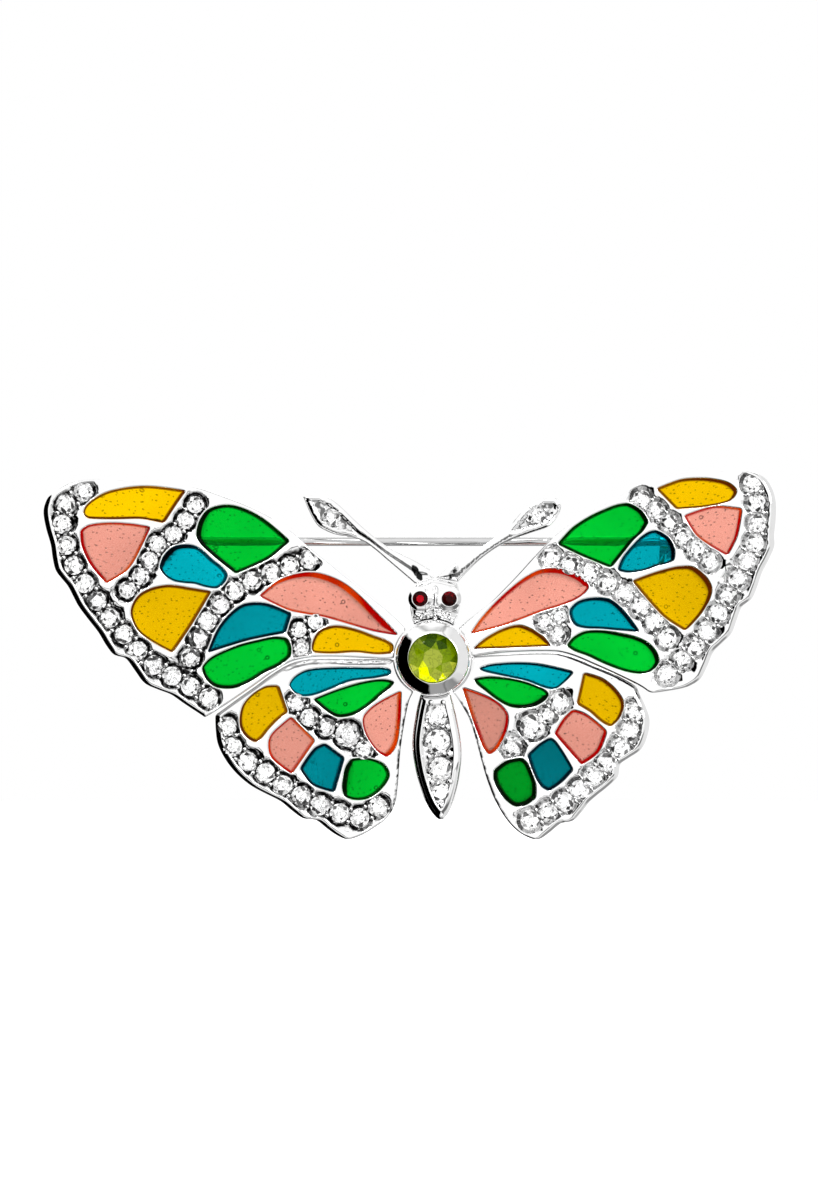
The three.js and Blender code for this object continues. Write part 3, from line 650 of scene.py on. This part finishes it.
def beads(name, plane, places, height, radius):
    """Small turned silver domes joined into one piece."""
    profile = [(0.0, 1.0), (0.38, 0.92), (0.71, 0.71), (0.92, 0.38), (1.0, 0.0), (1.0, -1.2)]
    points, faces = [], []
    count = 14
    for x, y in places:
        base = len(points)
        points.append((x, y, height + radius))
        for r, h in profile[1:]:
            for k in range(count):
                turn = 2 * math.pi * k / count
                points.append((x + r * radius * math.cos(turn), y + r * radius * math.sin(turn),
                               height + h * radius))
        rings = len(profile) - 1
        for k in range(count):
            after = (k + 1) % count
            faces.append([base, base + 1 + k, base + 1 + after])
            for level in range(rings - 1):
                a = base + 1 + level * count
                faces.append([a + k, a + count + k, a + count + after, a + after])
        low = base + 1 + (rings - 1) * count
        faces.append([low + k for k in reversed(range(count))])
    fit(make_object(name, plane.world(points), faces, BEAD_SILVER))


# ---- wings ----
# The dark band at a cell's walls, partly thicker enamel and partly painted wall shadow, and the depth of
# its colour: the dark band's least and most width in mm, the way (outwards, up) to the wall where it is
# widest, and how light the enamel is.
RIMS = {
    "left_forewing": {
        "top_yellow": (0.09, 0.14, -0.5, -0.85, 0.98),
        "top_pink": (0.09, 0.22, 0.95, -0.2, 0.88),
        "big_green": (0.14, 0.36, 1.0, 0.1, 0.95),
        "outer_teal": (0.1, 0.34, 0.75, 0.66, 0.97),
        "outer_yellow": (0.1, 0.15, 0.8, 0.6, 0.8),
        "inner_pink": (0.1, 0.34, -0.5, 0.87, 0.88),
        "inner_teal": (0.13, 0.2, 0.8, 0.6, 0.63),
        "inner_yellow": (0.09, 0.16, 0.8, 0.6, 0.95),
        "lower_green": (0.14, 0.22, 0.6, -0.8, 0.95),
    },
    "left_hindwing": {
        "inner_pink": (0.1, 0.24, -0.6, -0.8, 0.92),
        "long_teal": (0.07, 0.1, 0.5, 0.8, 0.8),
        "long_green": (0.12, 0.2, 0.6, -0.8, 0.98),
        "outer_yellow": (0.09, 0.2, 0.8, -0.5, 0.76),
        "outer_pink": (0.09, 0.15, 0.9, -0.4, 0.74),
        "outer_teal": (0.13, 0.22, 0.9, 0.4, 0.5),
        "bottom_green": (0.11, 0.36, 1.0, 0.2, 0.86),
    },
    "right_forewing": {
        "top_yellow": (0.09, 0.26, 0.9, 0.45, 0.93),
        "top_pink": (0.08, 0.2, 0.9, 0.2, 0.97),
        "big_green": (0.12, 0.3, 0.95, 0.3, 1.0),
        "outer_teal": (0.11, 0.26, 0.95, 0.3, 0.86),
        "outer_yellow": (0.09, 0.32, 0.85, 0.53, 0.8),
        "inner_pink": (0.1, 0.34, 0.5, 0.87, 0.95),
        "inner_teal": (0.11, 0.24, 0.8, 0.6, 0.78),
        "inner_yellow": (0.09, 0.22, 0.8, 0.6, 0.84),
        "lower_green": (0.12, 0.3, 0.95, 0.3, 0.98),
    },
    "right_hindwing": {
        "long_teal": (0.08, 0.18, 0.9, 0.4, 0.88),
        "long_green": (0.12, 0.32, 0.8, -0.6, 0.9),
        "inner_pink": (0.13, 0.22, 0.7, -0.7, 0.68),
        "outer_yellow": (0.09, 0.22, 0.9, 0.4, 0.8),
        "outer_pink": (0.13, 0.22, 0.8, -0.6, 0.85),
        "outer_teal": (0.12, 0.2, 0.7, -0.7, 0.36),
        "bottom_green": (0.22, 0.32, 0.8, -0.6, 0.5),
    },
}


def facing_widest(way, widest_way):
    """How much a wall's direction agrees with the way in which the dark band of thicker enamel and
    painted wall shadow is widest.
    """
    return np.clip(way @ np.array(widest_way), 0, 1)


def make_pane(wing, cell, plane, loop, top):
    """The enamel in one cell: hollow in front and behind, and climbing its walls."""
    points, _ = welded(f"{wing}_pane_{cell}")
    flat = plane.flat(points)
    back = flat[:, 2].min()
    outline = offset(loop[::-1], -0.02)
    sign = SIDES[wing.split("_")[0]]
    thin, thick, widest_across, widest_up, depth = RIMS[wing][cell]

    def rise(xy):
        far, _ = nearest(xy, [outline])
        return top - 0.12 - 0.14 * (1 - np.exp(-far / 0.16))

    def under(xy):
        far, _ = nearest(xy, [outline])
        return back - 0.12 + 0.12 * (1 - np.exp(-far / 0.13))

    # the dark band at the walls, thicker enamel with painted wall shadow, widest towards one side
    def rims(xy):
        far, way = nearest(xy, [outline])
        width = thin + (thick - thin) * facing_widest(way, (sign * widest_across, widest_up)) ** 1.5
        return np.clip(1 - far / (2.2 * width), 0, 1)

    def depths(xy):
        return np.full(len(xy), depth)

    colour = cell.split("_")[-1]
    rings = (0.035, 0.08, 0.13, 0.19, 0.27, 0.37, 0.5)
    pane = sculpted(f"{wing}_enamel_{cell}", plane, [outline], (rings, rise), (rings, under),
                    ENAMELS[colour], grid=0.35, marks={"rim": rims, "depth": depths})
    fit(pane, f"{wing}_pane_{cell}")


def cell_names(wing):
    prefix = f"{wing}_pane_"
    return [n[len(prefix):] for n in sorted(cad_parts) if n.startswith(prefix)]


def make_wing(wing):
    """A wing's metal, its panes, and its stones with their beads."""
    node = f"{wing}_frame"
    points, faces = welded(node)
    plane = front_of(points, faces)
    flat = plane.flat(points)
    top, back = flat[:, 2].max(), flat[:, 2].min()
    loops = sorted(loops_at(flat, faces, top), key=area_of)
    outer = smooth_loop(loops[-1])
    seats = [loop for loop in loops[:-1] if abs(area_of(loop)) < SMALLEST_CELL]
    cells = [smooth_loop(loop) for loop in loops[:-1] if abs(area_of(loop)) >= SMALLEST_CELL]
    stones = []
    for seat in seats:
        centre = seat.mean(axis=0)
        radius = np.linalg.norm(seat - centre, axis=1).mean() / SEAT_RATIO
        stones.append((centre[0], centre[1], float(radius)))
    stones.sort(key=lambda s: (round(s[1], 2), s[0]))

    thorax = np.array(middle_of("thorax_bezel")[:2])
    sign = SIDES[wing.split("_")[0]]

    def face(xy):
        """Rails beside a sunk channel with a groove round each stone."""
        out_far, way = nearest(xy, [outer])
        cell_far, _ = nearest(xy, cells)
        beside = fade(np.linalg.norm(xy - thorax, axis=1), *THORAX_SIDE)
        outward = np.clip(sign * way[:, 0], 0, 1) * beside
        width = SHOULDER[0] + (SHOULDER[1] - SHOULDER[0]) * outward
        drop = np.maximum(shoulder(out_far, width, SHOULDER_RISE * width),
                          shoulder(cell_far, CELL_EDGE, CELL_EDGE))
        rail = fade(np.minimum(out_far - width + 0.05, cell_far), *RAIL_SIDE)
        gap = stone_gap(xy, stones)
        near = 1 - fade(gap, *CHANNEL_SIDE)
        groove = np.exp(-((gap - 0.04) / 0.08) ** 2)
        sunk = CHANNEL_DEPTH * near + GROOVE_DEPTH * groove
        return top - drop - rail * sunk - ledge(xy, out_far, way)

    def ledge(xy, far, way):
        """The hammered strip along a hindwing's upper edge, in front of which the forewing lies."""
        if wing.endswith("forewing"):
            return 0
        strip = fade(way[:, 1], 0.8, 0.93) * (1 - fade(far, 0.36, 0.46)) * fade(xy[:, 1], -3.2, -2.4)
        marks = np.array([noise.noise((x * 2.6, y * 5.0, 0.5)) for x, y in xy])
        return strip * (0.14 + 0.07 * marks if sign < 0 else 0.05 + 0.01 * marks)

    def painted_recess_shade(xy):
        """Painted shade: dark metal between a channel's stones and, on a hindwing, along the body."""
        gap = stone_gap(xy, stones)
        out_far, way = nearest(xy, [outer])
        cell_far, _ = nearest(xy, cells)
        open_floor = fade(np.minimum(out_far - 0.42, cell_far), 0.12, 0.2)
        open_floor *= (1 - fade(gap, 0.26, 0.34)) * (0.95 if sign < 0 else 0.22)
        if wing.endswith("forewing"):
            return open_floor
        beside_body = fade(-sign * way[:, 0], 0.7, 0.88) * fade(-xy[:, 1], 3.2, 4.0)
        return np.maximum(open_floor, 0.7 * beside_body * (1 - fade(out_far, 0.16, 0.3)))

    rings = (0.02, 0.05, 0.1, 0.16, 0.24, 0.33, 0.42, 0.52)
    metal = sculpted(f"{wing}_metal", plane, [outer] + cells, (rings, face),
                     ((0.04, 0.12, 0.2), rounded_back(back, [outer] + cells, 0.12)), PAVE_SILVER,
                     extra=stone_rings(stones), grid=0.5, marks={"painted_recess_shade": painted_recess_shade})
    fit(metal, node)
    for name in cell_names(wing):
        pane_points, _ = welded(f"{wing}_pane_{name}")
        spots = plane.flat(pane_points)[:, :2]
        around = min(cells, key=lambda loop: nearest(spots, [loop])[0].mean())
        make_pane(wing, name, plane, around, top)
    for i, (x, y, r) in enumerate(stones):
        stone = set_stone(f"{wing}_stone_{i + 1:02d}", plane, (x, y, top - STONE_SINK),
                          STONE_FIT * r, CLEAR, 0.7 * i)
        fit(stone)
    beads(f"{wing}_beads", plane, bead_points(stones), top - BEAD_SINK, BEAD_RADIUS)


# ---- body ----
def middle_of(node):
    """A node's centre across and up, its back and top heights and its half width, in mm."""
    low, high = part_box(node)
    return ((low.x + high.x) / 2 / MM, (low.z + high.z) / 2 / MM, -high.y / MM, -low.y / MM,
            (high.x - low.x) / 2 / MM)


def lathe(name, profile, centre, count, material):
    """A turned piece facing forward, from (radius, height) pairs that start and end on the axis."""
    points, faces = [], []
    rows = []
    for r, h in profile:
        if r == 0:
            rows.append([len(points)])
            points.append((centre[0], centre[1], h))
        else:
            rows.append(list(range(len(points), len(points) + count)))
            for k in range(count):
                turn = 2 * math.pi * k / count
                points.append((centre[0] + r * math.cos(turn), centre[1] + r * math.sin(turn), h))
    for low, high in zip(rows, rows[1:]):
        for k in range(count):
            after = (k + 1) % count
            if len(low) == 1:
                faces.append([low[0], high[after], high[k]])
            elif len(high) == 1:
                faces.append([low[k], low[after], high[0]])
            else:
                faces.append([low[k], low[after], high[after], high[k]])
    thing = make_object(name, FACING.world(points), faces, material)
    thing.data.set_sharp_from_angle(angle=math.radians(24))
    return thing


def soften(thing, width, angle):
    """Rounds the piece's edges and keeps its flat faces flat to the light."""
    edge = thing.modifiers.new("round_edges", "BEVEL")
    edge.width = width * MM
    edge.segments = 3
    edge.limit_method = "ANGLE"
    edge.angle_limit = math.radians(angle)
    level = thing.modifiers.new("even_normals", "WEIGHTED_NORMAL")
    level.keep_sharp = True


def node_outline(node):
    """A bevelled plate's outline at the step under its front bevel."""
    points, faces = welded(node)
    flat = FACING.flat(points)
    levels = sorted(set(np.round(flat[:, 2], 2)))
    step = max(level for level in levels[:-1] if (np.abs(flat[:, 2] - level) < SAME_STEP).sum() > 8)
    on_step = np.abs(flat[:, 2] - step) < SAME_STEP
    following = {}
    for face in faces:
        if flat[face, 2].mean() > step - 0.01:
            continue
        for a, b in zip(face, face[1:] + face[:1]):
            if on_step[a] and on_step[b]:
                following[a] = b
    firsts = set(following) - set(following.values())
    at = firsts.pop() if firsts else next(iter(following))
    chain = [at]
    while following.get(at) is not None and following[at] != chain[0]:
        at = following[at]
        chain.append(at)
    loop = flat[chain, :2]
    return loop if area_of(loop) > 0 else loop[::-1]


def clear_of_thorax(loop):
    """The loop with the part that runs under the thorax pushed out to its rim."""
    x, y, _, _, radius = middle_of("thorax_bezel")
    away = loop - np.array([x, y])
    far = np.linalg.norm(away, axis=1)
    reach = np.maximum(far, radius + 0.06)
    return np.array([x, y]) + away / far[:, None] * reach[:, None]


def make_bezel():
    """The thorax: a turned collar with a flat sloping face, and its round stone."""
    x, y, back, top, radius = middle_of("thorax_bezel")
    bore = 2.03
    profile = [
        (0, back + 1.9), (1.0, back + 1.9), (bore - 0.03, top - 0.85), (bore, top - 0.7),
        (bore, top - 0.03), (bore + 0.03, top), (bore + 0.08, top - 0.01),
        (2.3, top - 0.14), (2.55, top - 0.31), (2.8, top - 0.49), (2.98, top - 0.63),
        (3.03, top - 0.72), (3.06, top - 0.9), (radius, top - 1.1),
        (radius, back + 0.15), (radius - 0.12, back), (0, back),
    ]
    bezel = lathe("thorax_collar", profile[::-1], (x, y), 128, COLLAR_SILVER)
    fit(bezel, "thorax_bezel")
    stone = set_stone("peridot_cut", FACING, (x, y, top - 0.62), 2.0, PERIDOT, 0.2,
                      (0.34, 0.82, 0.42), peridot_painted_light)
    fit(stone, "peridot")


def make_eye(side):
    """An eye: a turned tube, sloping more on the left, and its red stone."""
    x, y, back, top, radius = middle_of(f"{side}_eye_tube")
    inner = radius * 0.64
    flank = 0.135 if side == "left" else 0.06
    floor = 0.35
    profile = [
        (0, back), (radius - 0.05, back), (radius, back + 0.06), (radius, top - flank - 0.06),
        (radius - 0.02, top - flank), (inner + 0.08, top - 0.01), (inner + 0.03, top), (inner, top),
        (inner, back + floor), (0, back + floor),
    ]
    tube = lathe(f"{side}_eye_setting", profile, (x, y), 64, SILVER)
    fit(tube, f"{side}_eye_tube")
    gx, gy, _, gem_top, gem_radius = middle_of(f"{side}_eye_garnet")
    # the right eye's stone gets darker painted facet light than the left's
    stone = set_stone(f"{side}_eye_stone", FACING, (gx, gy, gem_top - 0.25), 0.9 * gem_radius, GARNET,
                      0.4, (0.34, 0.86, 0.48), garnet_painted_light if side == "left" else dim_garnet_painted_light)
    fit(stone, f"{side}_eye_garnet")


def make_head():
    """The head: a domed plate with a groove between the eyes and a rough neck with beads."""
    x, _, back, top, _ = middle_of("head")
    outline = clear_of_thorax(smooth_loop(node_outline("head"), 0.1))

    def face(xy):
        far, _ = nearest(xy, [outline])
        between_eyes = fade(xy[:, 1], 4.1, 4.6) * (1 - fade(xy[:, 1], 5.4, 6.1))
        groove = np.exp(-((xy[:, 0] - x - 0.05) / 0.12) ** 2) * between_eyes
        neck = 1 - fade(xy[:, 1], 3.9, 4.3)
        lumps = np.abs([noise.noise((px * 1.7, py * 1.9, 2.5)) for px, py in xy])
        return top - shoulder(far, 0.62, 0.75) - 0.2 * groove - neck * (0.32 + 0.3 * lumps)

    rings = (0.03, 0.08, 0.14, 0.21, 0.29, 0.38, 0.48, 0.6)
    groove_points = [(x + 0.05 * i, 4.0 + 0.1 * k) for i in range(-5, 8) for k in range(22)]
    head = sculpted("head_shell", FACING, [outline], (rings, face),
                    ((0.1, 0.2, 0.3, 0.4, 0.5), rounded_back(back, [outline], 0.4)), SILVER,
                    extra=groove_points, grid=0.12)
    fit(head, "head")
    spots = [(x - 1.2 + 0.6 * k, 3.3 + 0.1 * math.sin(2.1 * k)) for k in range(5)]
    spots += [(x - 0.7 + 0.7 * k, 3.74 + 0.1 * math.cos(3.3 * k)) for k in range(3)]
    beads("head_neck_beads", FACING, spots, top - 0.4, 0.22)


def cad_stones(prefix):
    """The names of the CAD's stones with the prefix, and their centres and radii."""
    names = [n for n in sorted(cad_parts) if n.startswith(prefix)]
    return names, [(m[0], m[1], m[4]) for m in map(middle_of, names)]


def make_abdomen():
    """The abdomen: a bevelled leaf with a sunk channel for its row of stones."""
    _, _, back, top, _ = middle_of("abdomen")
    outline = clear_of_thorax(smooth_loop(node_outline("abdomen"), 0.12))
    names, stones = cad_stones("abdomen_stone_")

    def face(xy):
        far, way = nearest(xy, [outline])
        channel = fade(far, 0.72, 0.84)
        groove = np.exp(-((stone_gap(xy, stones) - 0.04) / 0.09) ** 2)
        on_left = fade(-way[:, 0], 0.5, 0.8)
        low_right = fade(way[:, 0], 0.6, 0.8) * fade(-xy[:, 1], 8.4, 9.6)
        bevel = np.interp(far, (0.0, 0.06, 0.2, 0.29, 0.62), (0.42, 0.26, 0.165, 0.165, 0.0))
        side = on_left * bevel + (1 - on_left) * shoulder(far, 0.34, 0.4)
        side += low_right * 0.25 * np.clip(0.6 - far, 0, 0.6)
        return top - side - channel * (0.14 + 0.24 * groove)

    # painted shade on the channel's floor between the stones
    def painted_recess_shade(xy):
        far, _ = nearest(xy, [outline])
        gap = stone_gap(xy, stones)
        return 0.55 * fade(far, 0.74, 0.84) * fade(gap, 0.0, 0.06) * (1 - fade(gap, 0.3, 0.42))

    rings = (0.02, 0.06, 0.12, 0.2, 0.29, 0.38, 0.48, 0.6, 0.7, 0.78, 0.86)
    shell = sculpted("abdomen_shell", FACING, [outline], (rings, face),
                     ((0.06, 0.15, 0.26, 0.38, 0.5, 0.6), rounded_back(back, [outline], 0.5)),
                     PAVE_SILVER, extra=stone_rings(stones), grid=0.25, marks={"painted_recess_shade": painted_recess_shade})
    fit(shell, "abdomen")
    for i, (name, (x, y, r)) in enumerate(zip(names, stones)):
        stone = set_stone(f"{name}_cut", FACING, (x, y, top - 0.16), r, CLEAR, 0.5 * i)
        fit(stone, name)
    places = bead_points([(x, y, r + 0.12) for x, y, r in stones], 0.8)
    x, y, r = stones[0]
    places += [(x - 0.55 * r, y + 1.05 * r), (x + 0.55 * r, y + 1.05 * r)]
    x, y, r = stones[-1]
    places.append((x, y - 1.2 * r))
    beads("abdomen_beads", FACING, places, top - 0.18, 0.3)


def make_antenna(side):
    """An antenna: a ridged stem that ends in a leaf with a stone in its sunk floor."""
    node = f"{side}_antenna"
    points, faces = welded(node)
    flat = FACING.flat(points)
    top, back = flat[:, 2].max(), flat[:, 2].min()
    outline = smooth_loop(max(loops_at(flat, faces, top), key=area_of), 0.11, 0)
    x, y, _, _, radius = middle_of(f"{side}_antenna_stone")
    leaf_start = abs(x) - 2.2
    sign = SIDES[side]

    # the ridge along a stem: shares of the way from its lower to its upper edge, and how far the
    # metal there is under the face against the stem's width
    if sign < 0:
        ridge = ((0.0, 0.4, 0.62), (0.12, 0.12, 0.0))
    else:
        ridge = ((0.0, 0.2, 0.26, 0.52), (0.19, 0.05, 0.05, 0.0))

    def on_leaf(xy):
        return fade(np.abs(xy[:, 0]), leaf_start, leaf_start + 0.5)

    def face(xy):
        far, way = nearest(xy, [outline])
        low, _ = nearest(xy, [outline], (0, -1))
        high, _ = nearest(xy, [outline], (0, 1))
        wide = np.clip(low + high, 0.01, 1.2)
        leaf = on_leaf(xy)
        stem = wide * np.interp(low / (low + high + 1e-9), *ridge) * (1 - leaf)
        if sign < 0:
            stem *= 0.45 + 0.55 * fade(-xy[:, 0], 3.0, 6.5)
        outer_edge = leaf * fade(way @ np.array([0.93 * sign, -0.37]), 0.8, 0.93)
        bevel = outer_edge * 0.38 * np.clip(0.44 - far, 0, 0.44)
        lower_edge = leaf * fade(-way[:, 1], 0.3, 0.6) * 0.6 * np.clip(0.24 - far, 0, 0.24)
        edge = shoulder(far, 0.1, 0.1) + np.maximum(bevel, lower_edge)
        return top - edge - stem - 0.2 * floor(xy, far)

    def floor(xy, far):
        """Where the leaf is sunk round its stone."""
        return on_leaf(xy) * fade(far, 0.46, 0.54)

    def painted_recess_shade(xy):
        """Painted shade: the leaf's sunk floor, and a dark oval patch across the stem's root."""
        far, _ = nearest(xy, [outline])
        from_root = sign * xy[:, 0] - 1.5
        along = 0.53 * from_root + 0.85 * (xy[:, 1] - 7.0)
        beside = 0.85 * from_root - 0.53 * (xy[:, 1] - 7.0)
        root = 1 - fade(np.hypot(0.35 * along, beside), 0.16, 0.3)
        return np.maximum(0.6 * floor(xy, far), root * (2.5 if sign < 0 else 0.8))

    stem = sculpted(f"{side}_antenna_shell", FACING, [outline], ((0.02, 0.06, 0.12), face),
                    ((0.04, 0.1, 0.17, 0.25, 0.32), rounded_back(back, [outline], 0.25)),
                    PAVE_SILVER, grid=0.08, marks={"painted_recess_shade": painted_recess_shade})
    fit(stem, node)
    stone = set_stone(f"{side}_antenna_stone_cut", FACING, (x, y, top - 0.14), radius, CLEAR, 0.3)
    fit(stone, f"{side}_antenna_stone")
    reach = radius + 0.1
    spots = [(x + reach * math.cos(turn), y + reach * math.sin(turn)) for turn in (0.6, 2.2, 3.7, 5.3)]
    beads(f"{side}_antenna_beads", FACING, spots, top - 0.14, 0.17)


# ---- pin and findings ----
def refined(node, body, material, width):
    """The CAD node's own form with merged corners and rounded, softly shaded edges."""
    points, faces = welded(node)
    piece = make_object(f"{node}_fine", points * MM, faces, material)
    flat = piece.modifiers.new("merge_flats", "DECIMATE")
    flat.decimate_type = "DISSOLVE"
    flat.angle_limit = math.radians(2)
    soften(piece, width, 35)
    fit(piece, node, body)


# ---- studio ----
def make_camera():
    """Straight in front of the brooch, with a long lens."""
    lens = bpy.data.cameras.new("camera")
    lens.lens = 135
    lens.sensor_fit = "AUTO"
    lens.sensor_width = 36
    lens.clip_start = 0.01
    camera = placed("camera", lens)
    camera.location = (-0.00217, -0.375, 0.00475)
    camera.rotation_euler = (math.pi / 2, 0, 0)
    bpy.context.scene.camera = camera


def make_world():
    """A white studio, dark on the left, greyer on the right, straight below and in a ring above, with
    a narrow dark band low in front. Straight behind the brooch it is white."""
    world = bpy.data.worlds.new("studio")
    bpy.context.scene.world = world
    world.use_nodes = True
    n = Nodes(world.node_tree)
    n.tree.nodes.clear()
    directions = n.add("ShaderNodeTexCoord").outputs["Generated"]

    def toward(way, stops):
        """The light in the directions that lean a given way, from (how far they lean, light) stops."""
        lean = n.add("ShaderNodeVectorMath", operation="DOT_PRODUCT")
        lean.inputs[1].default_value = way
        n.link(directions, lean.inputs[0])
        return n.ramp(lean.outputs["Value"], stops)

    dark_left = toward((-0.93, 0.0, -0.37), ((0.4, 1.0), (0.47, 0.0)))
    behind = toward((0, 1, 0), ((0.6, 0.0), (0.8, 1.0)))
    low_band = toward((0, 0, -1), ((0.17, 1.0), (0.23, 0.14), (0.34, 0.16), (0.42, 1.0)))
    not_in_front = toward((0, -1, 0), ((0.6, 1.0), (0.8, 0.0)))
    light = n.mix(1.0, dark_left, behind, "LIGHTEN")
    for part in (
        toward((1, 0, 0), ((0.3, 1.0), (0.36, 0.55), (0.43, 0.95), (0.6, 0.76))),
        n.mix(1.0, low_band, not_in_front, "LIGHTEN"),
        toward((0, 0, -1), ((0.42, 1.0), (0.5, 0.9), (0.62, 0.88), (0.72, 0.32))),
        toward((0, 0, 1), ((0.85, 1.0), (0.9, 0.5), (0.95, 1.0))),
    ):
        light = n.mix(1.0, light, part, "MULTIPLY")
    studio = n.add("ShaderNodeBackground")
    n.feed(studio, Color=light, Strength=1.12)
    plain = n.add("ShaderNodeBackground")
    n.feed(plain, Color=(1, 1, 1, 1))
    path = n.add("ShaderNodeLightPath")
    seen = n.add("ShaderNodeMixShader")
    n.link(path.outputs["Is Camera Ray"], seen.inputs["Fac"])
    n.link(studio.outputs[0], seen.inputs[1])
    n.link(plain.outputs[0], seen.inputs[2])
    n.link(seen.outputs[0], n.add("ShaderNodeOutputWorld").inputs["Surface"])


def make_lights():
    """Three soft round lamps that look at the brooch."""
    for name, place, size, power in (
        ("key", (-0.12, -0.3, 0.3), 0.12, 0.5),
        ("fill", (0.22, -0.3, 0.12), 0.16, 0.3),
        ("back", (0.05, 0.35, 0.25), 0.2, 0.3),
    ):
        light = bpy.data.lights.new(name, "AREA")
        light.shape = "DISK"
        light.size = size
        light.energy = power
        lamp = placed(name, light)
        lamp.location = place
        lamp.rotation_euler = (-Vector(place)).to_track_quat("-Z", "Y").to_euler()


def make_floor():
    """A plain pale floor a little below the brooch."""
    n = Surface("pale_floor")
    n.set(Base_Color=(0.95, 0.95, 0.95, 1), Roughness=0.9, Specular_IOR_Level=0.0)
    n.set(Emission_Color=(1, 1, 1, 1), Emission_Strength=0.6)
    reach, level = 0.4, -0.03
    corners = [(x * reach, y * reach, level) for x, y in ((-1, -1), (1, -1), (1, 1), (-1, 1))]
    floor = make_object("floor", corners, [[0, 1, 2, 3]], n.material, smooth=False)
    floor.visible_glossy = False
    floor.visible_transmission = False


make_camera()
make_world()
make_lights()
make_floor()
for wing_name in WINGS:
    make_wing(wing_name)
make_bezel()
make_head()
make_abdomen()
for side_name in SIDES:
    make_eye(side_name)
    make_antenna(side_name)
refined("hinge_bracket", "brooch", BACK_SILVER, 0.08)
refined("hinge_rivet", "brooch", STEEL, 0.1)
refined("pin_stem", "pin", STEEL, 0.05)
refined("catch_case", "brooch", BACK_SILVER, 0.08)
refined("catch_lock", "catch_lock", BACK_SILVER, 0.06)
bpy.context.scene.view_settings.view_transform = "Standard"

bpy.context.view_layer.update()
